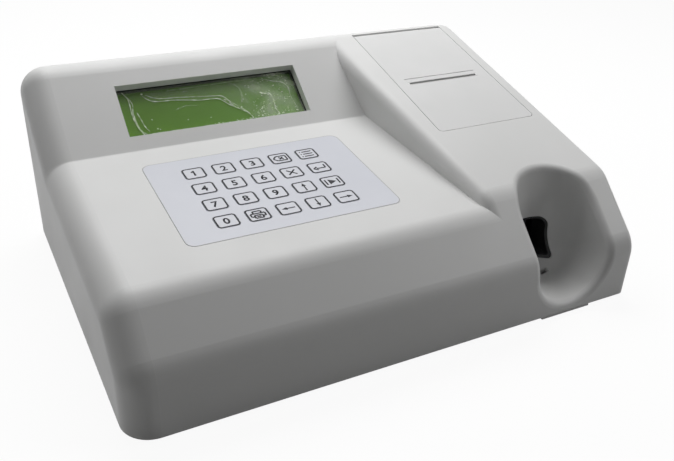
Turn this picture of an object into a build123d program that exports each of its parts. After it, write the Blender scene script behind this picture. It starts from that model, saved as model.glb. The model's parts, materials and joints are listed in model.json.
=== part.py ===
from build123d import *
import math
import os

os.makedirs("parts", exist_ok=True)

# Bench-top urine strip analyzer. Everything is drawn in millimetres from one corner: x runs from
# the left side, y from the front of the skirt to the back, z up from the skirt's lower edge.
# save() then moves each piece so that the origin is at the centre of the object's footprint, on
# the surface that the rubber feet stand on.

# ---- overall form -------------------------------------------------------------------------
overall_width = 350.0
overall_depth = 250.6
ridge_height = 125.6
foot_gap = 3.2              # skirt edge above the bench
wall = 2.8

skirt_height = 40.0
skirt_lean = 0.5
front_slope = 43.4          # degrees
deck_front_y = 32.6
deck_tilt = 4.9
deck_back_y = overall_depth - 72.4
lcd_top_y = overall_depth - 15.03
ridge_radius = 20.0
crease_radius = 3.0
soft_radius = 22.0          # skirt break and deck front
left_radius = 18.0
right_radius = 5.5
back_corner_radius = 14.0

block_front_y = 40.4        # where the right block leaves the front slope
block_wall_front = overall_width - 106.5    # x of the block's left wall at the front ...
block_wall_back = overall_width - 119.0     # ... and at the back
block_edge_radius = 8.0
block_overlap = 11.0        # how far the main body runs on under the block

# ---- strip well -----------------------------------------------------------------------------
well_x = overall_width - 51.5
well_y = 26.3
well_radius = 29.3
well_floor = 5.7
well_rim_radius = 4.5
port_width = 34.6           # strip opening in the well's back wall
port_low = 13.5
port_high = 42.5
port_radius = 4.0
port_low_radius = 8.0
drain_width = 20.0
drain_length = 3.0
drain_y = 34.0

# ---- display --------------------------------------------------------------------------------
lcd_x = block_wall_back / 2 + 10.2               # middle of the window
lcd_u_share = 0.4514        # middle of the window, as a share of the slope up from the crease
lcd_width = 135.0
lcd_height = 41.2
lcd_recess = 6.5
lcd_frame_wall = 2.0
bezel_margin = 8.0
bezel_plate = 0.8
bezel_depth = 5.5
bezel_window_margin = 2.0
glass_margin = 6.0
film_thickness = 0.2
film_margin = 1.2
lcd_board_margin_x = 16.0
lcd_board_margin_y = 12.5
board_thickness = 1.6
lcd_boss_radius = 3.0
lcd_boss_inset = 4.5

# ---- keypad ---------------------------------------------------------------------------------
overlay_x = block_wall_front / 2 + 5.45
overlay_s = deck_back_y - 68.0           # middle, along the deck
overlay_width = 141.5
overlay_length = 96.5
overlay_radius = 6.0
overlay_thickness = 0.5
overlay_pocket = 0.4
key_columns = 5
key_rows = 4
key_pitch_x = 20.1
key_pitch_y = 19.6
key_first_x = overlay_x - 41.1
key_first_s = overlay_s + 28.7
key_width = 14.3
key_length = 13.0
key_radius = 2.5
key_gap = 0.25
key_proud = 0.1
key_cap = 1.4
key_travel = 0.45
key_stem_radius = 2.5
dome_radius = 4.0
dome_height = 0.8
deck_window_margin = 4.0
keypad_board_drop = 5.2     # top of the switch board below the deck surface
keypad_board_margin = 9.0
keypad_boss_radius = 3.0

# ---- printer cover and bay -------------------------------------------------------------------
cover_left = overall_width - 94.8
cover_right = overall_width - 11.8
cover_front_y = overall_depth - 142.6
cover_gap = 0.4
cover_thickness = 2.5
cover_corner = 3.5
barrel_radius = 4.0
hinge_y = overall_depth - 13.6
pin_radius = 1.5
pin_clearance = 0.06
ear_thickness = 3.3
ledge_width = 2.0
ledge_thickness = 1.6
slot_x = overall_width - 54.1
slot_width = 61.0
slot_y = overall_depth - 83.6
slot_opening = 2.2
tear_offset = 6.0
tear_width = 64.0
tear_depth = 0.4
tear_thickness = 0.8

tub_left = cover_left + 2.0
tub_right = cover_right - 1.8
tub_front = cover_front_y + 5.0
tub_back = overall_depth - 20.6
tub_floor = 58.0
tub_wall = 2.0
tub_drop = 6.0
post_radius = 4.0
cheek_thickness = 2.0
cheek_left = tub_left + 3.8
cheek_right = tub_right - 5.4
platen_y = slot_y - 5.5
platen_z = 90.0
platen_radius = 5.0
platen_shaft = 1.5
platen_teeth = 30
motor_teeth = 15
printer_module = 0.7
gear_width = 2.8
gear_angle = 240.0          # direction from the platen's axis to the motor's
printer_motor_radius = 10.0
printer_motor_length = 19.0
printer_motor_shaft = 1.0
platen_cheek_front = platen_y - 20.0
platen_cheek_back = platen_y + 4.0
gear_left = cheek_right + 0.4
head_gap = 0.3
head_thickness = 1.6
head_height = 22.0
roll_y = platen_y + 44.5
roll_z = 84.0
roll_radius = 22.0
roll_core = 6.0
roll_width = 57.0
spindle_radius = 5.7
spindle_tip = 2.5

# ---- strip drive -----------------------------------------------------------------------------
carriage_width = 24.0
carriage_front = 60.0
carriage_z = 20.0
carriage_thickness = 5.0
strip_groove = 6.0
strip_depth = 1.6
rod_spacing = 16.0
rod_radius = 2.0
rod_level = 17.0
rod_clearance = 0.06
rod_front = 62.5
rod_back = overall_depth - 50.6
carriage_length = rod_back - carriage_front - 22.0
bushing_length = 12.0
bushing_back = 48.0         # distance between the two pairs of bushings
rack_web = 0.5
tile_width = 10.0
tile_length = 8.0
tile_depth = 1.0
drive_module = 1.0
pinion_teeth = 14
pinion_y = 120.0
rack_front = 108.0
rack_width = 4.0
tunnel_wall = 1.5
tunnel_clearance = 0.25
tunnel_plate = 3.0
bridge_z = 32.0
bridge_thickness = 1.5
bridge_front = 68.0
bridge_back = 140.0
bridge_left = well_x - 44.5
bridge_right = well_x + 25.5
step_motor_radius = 17.5
step_motor_height = 16.0
step_shaft = 1.5
head_y = 83.0
head_width = 29.0
head_length = 26.0
head_rise = 22.0
snout_radius = 6.0
snout_bottom = 27.5
press_clearance = 0.03

# ---- drip tray, base and feet ----------------------------------------------------------------
base_bottom = 1.5
base_thickness = 2.5
base_clearance = 0.3
foot_radius = 7.0
foot_positions = [(30.0, 34.0), (30.0, overall_depth - 30.6),
                  (overall_width - 30.0, overall_depth - 30.6), (overall_width - 19.0, 26.0)]
screw_positions = [(16.0, 60.0), (16.0, overall_depth - 50.6), (well_x - 62.5, 20.0),
                   (overall_width - 6.7, 100.0), (overall_width - 6.7, overall_depth - 28.6)]
boss_radius = 4.5
base_screw_radius = 1.5
base_screw_head = 2.9
screw_head_height = 1.4
tray_width = 40.0
tray_length = 78.0
tray_top = -0.4
tray_bottom = -2.9
tray_floor = 0.8
tray_flange = 2.0
tray_x = well_x - 1.5
tray_front = 0.6
tray_lip_depth = 4.4
tray_lip_round = 1.1
runner_front = 6.0
runner_clearance = 0.3

# ---- rear panel --------------------------------------------------------------------------------
recess_left = 28.0
recess_right = 186.0
recess_low = 20.0
recess_high = 62.0
recess_depth = 4.0
inlet_x = 52.0
panel_z = 41.0
switch_x = 88.0
fuse_x = 112.0
port_x = 152.0
panel_clearance = 0.2
flange_thickness = 1.8
inlet_width = 27.2
inlet_height = 19.8
inlet_depth = 16.0
socket_width = 23.0
socket_height = 15.6
socket_depth = 15.0
pin_setback = 5.5
switch_width = 20.4
switch_height = 15.0
switch_depth = 14.0
rocker_width = 17.0
rocker_height = 10.6
rocker_well = 9.0
rocker_pin = 1.0
rocker_y = overall_depth - 6.0
rocker_tilt = 10.0
fuse_radius = 6.2
dsub_width = 19.4
dsub_height = 10.8

# ---- boards and supply -----------------------------------------------------------------------
standoff_height = 6.0
standoff_radius = 3.2
board_left = 62.0
board_right = overall_width - 138.0
board_front = 60.0
board_back = overall_depth - 85.6
standoff_inset = 5.0
post_places = [(x, y) for y in (bridge_back + 10.0, tub_back - 6.0)
               for x in (tub_left + 4.8, tub_right - 4.4)]
# places on the board as shares of its width and length, then width, length and height
board_parts = [(0.387, 0.343, 26.0, 26.0, 2.6), (0.653, 0.305, 14.0, 34.0, 3.0),
               (0.147, 0.571, 12.0, 30.0, 3.0), (0.253, 0.057, 46.0, 7.0, 8.0),
               (0.653, 0.057, 30.0, 7.0, 8.0), (0.827, 0.381, 8.0, 44.0, 8.0),
               (0.387, 0.810, 40.0, 8.0, 9.0)]
board_cans = [(0.12, 0.229, 6.0, 13.0), (0.12, 0.381, 5.0, 11.0), (0.74, 0.857, 10.0, 3.4)]
supply_left = 12.5
supply_front = board_back - 35.0
supply_width = 44.0
supply_length = 56.0
supply_height = 42.0
vent_count = 8
vent_left = 24.0
vent_pitch = 6.0
vent_width = 2.5
vent_front = 70.0
vent_length = 36.0

key_names = ["1", "2", "3", "clear", "menu", "4", "5", "6", "cancel", "enter", "7", "8", "9",
             "up", "start", "0", "print", "left", "down", "right"]

deck_z0 = skirt_height + (deck_front_y - skirt_lean) * math.tan(math.radians(front_slope)) \
    - deck_front_y * math.tan(math.radians(deck_tilt))
crease_z = deck_z0 + deck_back_y * math.tan(math.radians(deck_tilt))
lcd_slope = math.degrees(math.atan2(ridge_height - crease_z, lcd_top_y - deck_back_y))
lcd_u = lcd_u_share * math.hypot(ridge_height - crease_z, lcd_top_y - deck_back_y)
block_front_z = skirt_height + (block_front_y - skirt_lean) * math.tan(math.radians(front_slope))
ridge_centre_y = lcd_top_y + ridge_radius * math.tan(math.radians(lcd_slope) / 2)
ridge_centre_z = ridge_height - ridge_radius
base_top = base_bottom + base_thickness

# the block's top runs from its front edge tangent to the ridge's round
_reach_y = ridge_centre_y - block_front_y
_reach_z = ridge_centre_z - block_front_z
block_tilt = math.degrees(math.atan2(_reach_z, _reach_y)
                          + math.asin(ridge_radius / math.hypot(_reach_y, _reach_z)))
block_top_y = ridge_centre_y - ridge_radius * math.tan(math.radians(block_tilt) / 2)


def deck_plane(x=0.0, s=0.0, t=0.0):
    """Plane on the keypad deck; s runs back along it, t is the height above it."""
    a = math.radians(deck_tilt)
    plane = Plane(origin=(0, 0, deck_z0), x_dir=(1, 0, 0), z_dir=(0, -math.sin(a), math.cos(a)))
    return plane * Location((x, s, t))


def lcd_plane(x=0.0, u=0.0, t=0.0):
    """Plane on the display slope; u runs up it from the crease."""
    a = math.radians(lcd_slope)
    plane = Plane(origin=(0, deck_back_y, crease_z), x_dir=(1, 0, 0),
                  z_dir=(0, -math.sin(a), math.cos(a)))
    return plane * Location((x, u, t))


def block_plane(x=0.0, s=0.0, t=0.0):
    """Plane on the block's top; s runs back along it from the block's front edge."""
    a = math.radians(block_tilt)
    plane = Plane(origin=(0, block_front_y, block_front_z), x_dir=(1, 0, 0),
                  z_dir=(0, -math.sin(a), math.cos(a)))
    return plane * Location((x, s, t))


def block_s(y):
    return (y - block_front_y) / math.cos(math.radians(block_tilt))


def block_top_z(y):
    return block_front_z + (y - block_front_y) * math.tan(math.radians(block_tilt))


def box(x0, x1, y0, y1, z0, z1):
    size = (x1 - x0, y1 - y0, z1 - z0)
    return Pos((x0 + x1) / 2, (y0 + y1) / 2, (z0 + z1) / 2) * Box(*size)


def cyl_x(x0, x1, y, z, radius):
    return Pos((x0 + x1) / 2, y, z) * Rot(0, 90, 0) * Cylinder(radius, x1 - x0)


def cyl_y(y0, y1, x, z, radius):
    return Pos(x, (y0 + y1) / 2, z) * Rot(90, 0, 0) * Cylinder(radius, y1 - y0)


def cyl_z(z0, z1, x, y, radius):
    return Pos(x, y, (z0 + z1) / 2) * Cylinder(radius, z1 - z0)


def plate(location, width, length, thickness, radius=0.0):
    """Rounded plate whose top face lies on the given location's XY plane."""
    outline = RectangleRounded(width, length, radius) if radius else Rectangle(width, length)
    return location * (Pos(0, 0, -thickness) * extrude(outline, amount=thickness))


def inset_points(points, distance):
    """Corners of a closed outline, given clockwise seen along +X, moved inward."""
    moved = []
    count = len(points)
    for i in range(count):
        (ay, az), (by, bz), (cy, cz) = points[i - 1], points[i], points[(i + 1) % count]
        before, after = Vector(by - ay, bz - az), Vector(cy - by, cz - bz)
        before, after = before.normalized(), after.normalized()
        n1, n2 = Vector(before.Y, -before.X), Vector(after.Y, -after.X)
        lean = n1 + n2
        shift = lean * (2 * distance / lean.dot(lean)) if lean.length > 1e-6 else n1 * distance
        moved.append((by + shift.X, bz + shift.Y))
    return moved


def rounded_profile(points, radii):
    """Closed YZ face whose corners are rounded by arcs."""
    corners = [Vector(0, y, z) for y, z in points]
    count = len(corners)
    edges = []
    last = None
    first = None
    for i, radius in enumerate(radii):
        corner = corners[i]
        back = (corners[i - 1] - corner).normalized()
        ahead = (corners[(i + 1) % count] - corner).normalized()
        start = end = corner
        arc = None
        if radius > 0:
            half = math.radians(back.get_angle(ahead)) / 2
            start = corner + back * (radius / math.tan(half))
            end = corner + ahead * (radius / math.tan(half))
            middle = corner + (back + ahead).normalized() * (radius / math.sin(half) - radius)
            arc = Edge.make_three_point_arc(start, middle, end)
        if last is None:
            first = start
        else:
            edges.append(Edge.make_line(last, start))
        if arc is not None:
            edges.append(arc)
        last = end
    edges.append(Edge.make_line(last, first))
    return Face(Wire(edges))


def profile_solid(points, radii, x0, x1):
    face = rounded_profile(points, radii)
    return extrude(Pos(x0, 0, 0) * face, amount=x1 - x0, dir=(1, 0, 0))


def side_chain(solid, x, back_limit):
    """Edges of the flat end at x, without the bottom edge and those past the back limit."""
    end = [f for f in solid.faces() if abs(f.center().X - x) < 0.01][0]
    chain = []
    for edge in end.edges():
        box_ = edge.bounding_box()
        on_floor = box_.max.Z < skirt_height * 0.5 and box_.size.Z < 0.01
        at_back = box_.min.Y > back_limit - 0.01
        if not on_floor and not at_back:
            chain.append(edge)
    return ShapeList(chain)


def form(inset):
    """The closed outer form, or the same form with every wall moved inward by inset."""
    far = overall_depth + 60
    low = -20.0 if inset else 0.0
    main = [(skirt_lean * low / skirt_height, low), (skirt_lean, skirt_height),
            (deck_front_y, deck_z0 + deck_front_y * math.tan(math.radians(deck_tilt))),
            (deck_back_y, crease_z), (lcd_top_y, ridge_height), (far, ridge_height), (far, low)]
    block = [main[0], main[1], (block_front_y, block_front_z), (block_top_y, ridge_height),
             (far, ridge_height), (far, low)]
    soft = soft_radius - inset
    main_radii = [0, soft, soft, crease_radius + inset, ridge_radius - inset, 0, 0]
    block_radii = [0, soft, soft, ridge_radius - inset, 0, 0]
    left = inset
    right = overall_width - inset
    seam = block_wall_front + block_overlap
    body = profile_solid(inset_points(main, inset), main_radii, left, seam)
    body = fillet(side_chain(body, left, far - inset), left_radius - inset)
    side = profile_solid(inset_points(block, inset), block_radii, block_wall_back - 20, right)
    lean = math.degrees(math.atan2(block_wall_front - block_wall_back,
                                   overall_depth - block_front_y))
    reach = overall_width + overall_depth
    cutter = Pos(block_wall_front + inset, block_front_y, 0) * Rot(0, 0, lean) \
        * box(-reach, 0, -reach, reach, -reach, reach)
    side = side - cutter
    wall_face = side.faces().sort_by(Axis.X)[0]
    top_chain = [e for e in wall_face.edges()
                 if e.center().Z > block_front_z and e.center().Y < far - inset - 1]
    side = fillet(ShapeList(top_chain), block_edge_radius - inset)
    body = body + side
    body = body & box(-10, overall_width + 10, -20, overall_depth - inset, low - 1,
                      ridge_height + 1)
    corner = [e for e in body.edges().filter_by(Axis.Z)
              if e.center().X > right - 0.1 and e.center().Y > overall_depth - inset - 0.1]
    body = fillet(ShapeList(corner), back_corner_radius - inset)
    edge_round = right_radius - inset
    rim = body.faces().filter_by(Axis.X).sort_by(Axis.X)[-1].edges()
    rear = body.faces().filter_by(Axis.Y).sort_by(Axis.Y)[-1].edges()
    arc = [e for e in body.edges() if e.geom_type == GeomType.CIRCLE
           and e.center().Z > ridge_height - inset - 0.01
           and e.center().X > right - back_corner_radius]
    chain = []
    for e in list(rim) + list(rear) + arc:
        size = e.bounding_box().size
        low_edge = e.center().Z < skirt_height / 2 and size.Z < 0.01
        seam_edge = abs(e.center().Y - (overall_depth - back_corner_radius)) < 0.2 and size.Y < 0.01
        corner_edge = abs(e.center().X - (overall_width - back_corner_radius)) < 0.2 \
            and size.X < 0.01
        if not low_edge and not seam_edge and not corner_edge:
            chain.append(e)
    return fillet(ShapeList(chain), edge_round)


def scoop(radius):
    """Ball-ended well, open to the top and to the front."""
    centre_z = well_floor + well_radius
    high, front = 150.0, -40.0
    return cyl_z(centre_z, high, well_x, well_y, radius) \
        + cyl_y(front, well_y, well_x, centre_z, radius) \
        + Pos(well_x, well_y, centre_z) * Sphere(radius) \
        + box(well_x - radius, well_x + radius, front, well_y, centre_z, high)


def grid(count_x, count_y, pitch_x, pitch_y):
    return [(pitch_x * (i - (count_x - 1) / 2), pitch_y * (j - (count_y - 1) / 2))
            for j in range(count_y) for i in range(count_x)]


def add(shape, pieces):
    for piece in pieces:
        shape = shape + piece
    return shape


def cut(shape, pieces):
    for piece in pieces:
        shape = shape - piece
    return shape


# ---- places worked out from the sizes above --------------------------------------------------
lcd_board_width = lcd_width + 2 * lcd_board_margin_x
lcd_board_height = lcd_height + 2 * lcd_board_margin_y
lcd_board_drop = lcd_recess + bezel_depth
lcd_boss_places = grid(2, 2, lcd_board_width - 2 * lcd_boss_inset,
                       lcd_board_height - 2 * lcd_boss_inset)
field_x = key_first_x + key_pitch_x * (key_columns - 1) / 2
field_s = key_first_s - key_pitch_y * (key_rows - 1) / 2
field_width = key_pitch_x * (key_columns - 1) + key_width + 2 * deck_window_margin
field_length = key_pitch_y * (key_rows - 1) + key_length + 2 * deck_window_margin
pad_board_width = field_width + 2 * keypad_board_margin
pad_board_length = field_length + 2 * keypad_board_margin
pad_boss_places = grid(2, 2, field_width + keypad_board_margin, field_length + keypad_board_margin)
overlay_top = overlay_thickness - overlay_pocket
hinge_s = block_s(hinge_y)
cover_s0 = block_s(cover_front_y)
hinge_point = block_plane(0, hinge_s, -barrel_radius).position
slot_s = block_s(slot_y)
board_top = base_top + standoff_height + board_thickness
carriage_left = well_x - carriage_width / 2
rack_pitch_x = carriage_left - 1.25 * drive_module - rack_web
pinion_radius = drive_module * pinion_teeth / 2
pinion_x = rack_pitch_x - pinion_radius
panel_y = overall_depth - recess_depth
tray_rail = tray_width / 2 - tray_flange
standoff_places = [(x, y) for y in (board_front + standoff_inset, board_back - standoff_inset)
                   for x in (board_left + standoff_inset, board_right - standoff_inset)]


def inv(angle):
    return math.tan(angle) - angle


def gear_face(teeth, module, first_tooth, backlash=0.14):
    """Involute spur gear outline in the XY plane, a tooth centred on first_tooth degrees."""
    pitch = module * teeth / 2
    pressure = math.radians(20)
    base = pitch * math.cos(pressure)
    root = pitch - 1.2 * module
    tip = pitch + 0.9 * module
    points = []
    for k in range(teeth):
        middle = math.radians(first_tooth) + 2 * math.pi * k / teeth
        flank = []
        for r in (root, pitch - 0.5 * module, pitch, pitch + 0.5 * module, tip):
            unrolled = inv(math.acos(min(1.0, base / r)))
            half = math.pi / (2 * teeth) + inv(pressure) - unrolled - backlash / (2 * pitch)
            flank.append((r, half))
        for r, half in flank:
            points.append((r * math.cos(middle - half), r * math.sin(middle - half)))
        for r, half in reversed(flank):
            points.append((r * math.cos(middle + half), r * math.sin(middle + half)))
    return make_face(Polyline(*points, close=True).edges())


def gear_x(teeth, module, x0, x1, y, z, first_tooth):
    face = Plane(origin=(x0, y, z), x_dir=(0, 1, 0), z_dir=(1, 0, 0)) \
        * gear_face(teeth, module, first_tooth)
    return extrude(face, amount=x1 - x0, dir=(1, 0, 0))


# ---- housing ---------------------------------------------------------------------------------
def rear_recess(margin=0.0):
    return box(recess_left - margin, recess_right + margin, panel_y - margin, overall_depth + 5,
               recess_low - margin, recess_high + margin)


def port_prism(clearance):
    """Strip opening: a rounded prism along y through the well's back wall."""
    height = port_high - port_low - 2 * clearance
    outline = Rectangle(port_width - 2 * clearance, height)
    low, high = (outline.vertices().group_by(Axis.Y)[i] for i in (0, -1))
    outline = fillet(high, port_radius - clearance)
    outline = fillet(outline.vertices().group_by(Axis.Y)[0], port_low_radius - clearance)
    middle = (port_high + port_low) / 2
    plane = Plane(origin=(well_x, 0, middle), x_dir=(1, 0, 0), z_dir=(0, 1, 0))
    return plane * outline


def panel_cutouts():
    back, front = overall_depth, panel_y - wall - 1
    gap = panel_clearance
    inlet = box(inlet_x - inlet_width / 2 - gap, inlet_x + inlet_width / 2 + gap, front, back,
                panel_z - inlet_height / 2 - gap, panel_z + inlet_height / 2 + gap)
    switch = box(switch_x - switch_width / 2 - gap, switch_x + switch_width / 2 + gap, front, back,
                 panel_z - switch_height / 2 - gap, panel_z + switch_height / 2 + gap)
    fuse = cyl_y(front, back, fuse_x, panel_z, fuse_radius + gap)
    port = box(port_x - dsub_width / 2 - gap, port_x + dsub_width / 2 + gap, front, back,
               panel_z - dsub_height / 2 - gap, panel_z + dsub_height / 2 + gap)
    return [inlet, switch, fuse, port]


def cover_bay():
    """The opening in the block's top that the printer cover closes."""
    s0 = cover_s0 - cover_gap
    s1 = hinge_s + barrel_radius + cover_gap
    width = cover_right - cover_left + 2 * cover_gap
    middle = (cover_left + cover_right) / 2
    tool = plate(block_plane(middle, (s0 + s1) / 2, 8.0), width, s1 - s0, 8.0 + wall + 1.0)
    front_edges = [e for e in tool.edges().filter_by(block_plane(0, 0, 0).z_axis)
                   if e.center().Y < cover_front_y + 20]
    return fillet(ShapeList(front_edges), cover_corner + cover_gap)


def cover_ledge():
    """Ledge under the opening's front and sides that the closed cover rests on."""
    width = cover_right - cover_left
    middle = (cover_left + cover_right) / 2
    s0, s1 = cover_s0 - ledge_width, hinge_s - barrel_radius - ledge_width
    ring = plate(block_plane(middle, (s0 + s1) / 2, -wall), width + 2 * ledge_width, s1 - s0,
                 ledge_thickness)
    hole = plate(block_plane(middle, (s0 + s1) / 2 + ledge_width * 2, 0), width - 2 * ledge_width,
                 s1 - s0, 20.0)
    return ring - hole


def cover_ears():
    """Two ribs beside the opening that hold the cover's hinge pin."""
    ears = []
    reach = barrel_radius + 1.5
    for x0 in (cover_left - cover_gap - ear_thickness, cover_right + cover_gap):
        ears.append(box(x0, x0 + ear_thickness, hinge_point.Y - reach, hinge_point.Y + reach,
                        hinge_point.Z - reach, ridge_height + 5))
    return ears


def open_well(outer):
    """The outer form with the well cut into it and the well's rim rounded."""
    cutout = scoop(well_radius)
    opened = outer - cutout

    def lies_on(shape, point):
        return min(face.distance_to(Vertex(point)) for face in shape.faces()) < 0.01

    rim = []
    for edge in opened.edges():
        point = edge @ 0.4
        near = abs(point.X - well_x) < well_radius + 1 and point.Y < well_y + well_radius + 1
        if near and point.Z > 0.5 and lies_on(outer, point) and lies_on(cutout, point):
            rim.append(edge)
    return fillet(ShapeList(rim), well_rim_radius)


def upper_housing():
    outer = form(0.0)
    void = form(wall) - scoop(well_radius + wall) - rear_recess(wall)
    shell = open_well(outer) - void
    added = [cyl_z(base_top, 150, x, y, boss_radius) for x, y in screw_positions]
    added += [plate(lcd_plane(lcd_x, lcd_u, 0), lcd_width + 2 * lcd_frame_wall,
                    lcd_height + 2 * lcd_frame_wall, lcd_recess)]
    added += [lcd_plane(lcd_x + x, lcd_u + u, -lcd_board_drop / 2)
              * Cylinder(lcd_boss_radius, lcd_board_drop) for x, u in lcd_boss_places]
    added += [deck_plane(field_x + x, field_s + s, -keypad_board_drop / 2)
              * Cylinder(keypad_boss_radius, keypad_board_drop) for x, s in pad_boss_places]
    added += cover_ears()
    added += [cover_ledge()]
    for piece in added:
        shell = shell + (piece & outer)
    taken = [plate(lcd_plane(lcd_x, lcd_u, 5.0), lcd_width, lcd_height, lcd_recess + 6.0),
             plate(deck_plane(overlay_x, overlay_s, 5.0), overlay_width + 2 * panel_clearance,
                   overlay_length + 2 * panel_clearance, 5.0 + overlay_pocket, overlay_radius),
             plate(deck_plane(field_x, field_s, 5.0), field_width, field_length, wall + 5.2),
             cover_bay(), rear_recess(),
             extrude(Pos(0, well_y, 0) * port_prism(0.0), amount=40, dir=(0, 1, 0)),
             box(well_x - drain_width / 2, well_x + drain_width / 2, drain_y,
                 drain_y + drain_length, -5, well_floor + 8)]
    taken += panel_cutouts()
    ear_span = cover_right - cover_left + 2 * (cover_gap + ear_thickness)
    taken += [cyl_x(cover_left - cover_gap - ear_thickness, cover_left - cover_gap
                    - ear_thickness + ear_span, hinge_point.Y, hinge_point.Z,
                    pin_radius + press_clearance)]
    taken += [cyl_z(base_top, base_top + 12, x, y, base_screw_radius + press_clearance)
              for x, y in screw_positions]
    return cut(shell, taken)


def base_plate():
    slab = form(wall + base_clearance) & box(-10, overall_width + 10, -10, overall_depth + 10,
                                             base_bottom, base_top)
    slab = slab - scoop(well_radius + wall + base_clearance)
    slab = slab - box(well_x - drain_width / 2, well_x + drain_width / 2, drain_y,
                      drain_y + drain_length, -5, base_top + 1)
    posts = [cyl_z(base_top, tub_floor, x, y, post_radius) for x, y in post_places]
    posts += [cyl_z(base_top, base_top + standoff_height, x, y, standoff_radius)
              for x, y in standoff_places]
    slab = add(slab, posts)
    for x, y in screw_positions:
        slab = slab - cyl_z(base_bottom - 1, base_top + 1, x, y, base_screw_radius + 0.2)
        slab = slab - cyl_z(base_bottom - 1, base_bottom + screw_head_height + 0.1, x, y,
                            base_screw_head + 0.2)
    vent_x = [vent_left + i * vent_pitch for i in range(vent_count)]
    slots = [box(x, x + vent_width, vent_front, vent_front + vent_length, base_bottom - 1,
                 base_top + 1) for x in vent_x]
    return cut(slab, slots)


def base_screws():
    screws = []
    for x, y in screw_positions:
        head = cyl_z(base_bottom + 0.1, base_bottom + screw_head_height + 0.1, x, y,
                     base_screw_head)
        shank = cyl_z(base_bottom + 1.0, base_top + 10, x, y, base_screw_radius)
        screws.append(head + shank)
    return Compound(children=[s.solid() for s in screws])


def rubber_feet():
    feet = []
    for x, y in foot_positions:
        foot = cyl_z(-foot_gap, base_bottom, x, y, foot_radius)
        low = foot.edges().group_by(Axis.Z)[0]
        feet.append(fillet(low, 1.2).solid())
    return Compound(children=feet)


# ---- drip tray -------------------------------------------------------------------------------
def drip_tray():
    half = tray_rail
    back = tray_lip_depth + tray_length
    body = box(tray_x - half, tray_x + half, tray_lip_depth, back, tray_bottom, tray_top)
    body = body - box(tray_x - half + 1, tray_x + half - 1, tray_lip_depth + 1, back - 1,
                      tray_bottom + tray_floor, tray_top + 1)
    flanges = [box(tray_x - half - tray_flange + runner_clearance, tray_x + half + tray_flange
                   - runner_clearance, tray_lip_depth, back, tray_top - tray_floor, tray_top)
               - box(tray_x - half + 0.5, tray_x + half - 0.5, -5, back + 5, tray_bottom, 5)]
    lip = box(tray_x - tray_width / 2, tray_x + tray_width / 2, tray_front, tray_lip_depth,
              tray_bottom, tray_top)
    lip = fillet(lip.edges().filter_by(Axis.X).group_by(Axis.Y)[0], tray_lip_round)
    return add(body, flanges + [lip])


def tray_runners():
    """One moulded runner frame: two L rails and a back stop under the base plate."""
    half = tray_rail + tray_flange
    web = 1.2
    foot_top = tray_top - tray_floor - runner_clearance
    back = tray_lip_depth + tray_length + runner_clearance
    pieces = []
    for side in (-1, 1):
        inner, outer = tray_x + side * half, tray_x + side * (half + web)
        edge = tray_x + side * (tray_rail + runner_clearance)
        pieces.append(box(min(inner, outer), max(inner, outer), runner_front, back + web,
                          foot_top - 0.9, base_bottom))
        pieces.append(box(min(edge, outer), max(edge, outer), runner_front, back + web,
                          foot_top - 0.9, foot_top))
    pieces.append(box(tray_x - half - web, tray_x + half + web, back, back + web, foot_top,
                      base_bottom))
    return add(pieces[0], pieces[1:])


# ---- strip path ------------------------------------------------------------------------------
def strip_tunnel():
    outer = extrude(Pos(0, well_y, 0) * port_prism(tunnel_clearance), dir=(0, 1, 0),
                    amount=rod_front - well_y)
    outer = outer - scoop(well_radius + 0.2)
    plate_ = box(well_x - port_width / 2 - 3, well_x + port_width / 2 + 3, rod_front,
                 rod_front + tunnel_plate, base_top, port_high + 3)
    tunnel = outer + plate_
    tunnel = tunnel - extrude(port_prism(tunnel_clearance + tunnel_wall), amount=100,
                              dir=(0, 1, 0))
    for side in (-1, 1):
        x = well_x + side * rod_spacing / 2
        lug = box(x - 3.5, x + 3.5, rod_front, rod_front + tunnel_plate, base_top, rod_level + 2.8)
        tunnel = tunnel + lug
        tunnel = tunnel - cyl_y(rod_front + 0.8, rod_front + 10, x, rod_level,
                                rod_radius + press_clearance)
    return tunnel


def guide_rods():
    rods = [cyl_y(rod_front + 0.8, rod_back, well_x + side * rod_spacing / 2, rod_level,
                  rod_radius).solid() for side in (-1, 1)]
    return Compound(children=rods)


def rod_mount():
    body = box(well_x - 13, well_x + 13, rod_back - 4, rod_back, base_top, rod_level + 5)
    foot = box(well_x - 13, well_x + 13, rod_back, rod_back + 9, base_top, base_top + 2.5)
    holes = [cyl_y(rod_back - 10, rod_back + 1, well_x + side * rod_spacing / 2, rod_level,
                   rod_radius + press_clearance) for side in (-1, 1)]
    return cut(body + foot, holes)


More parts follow.
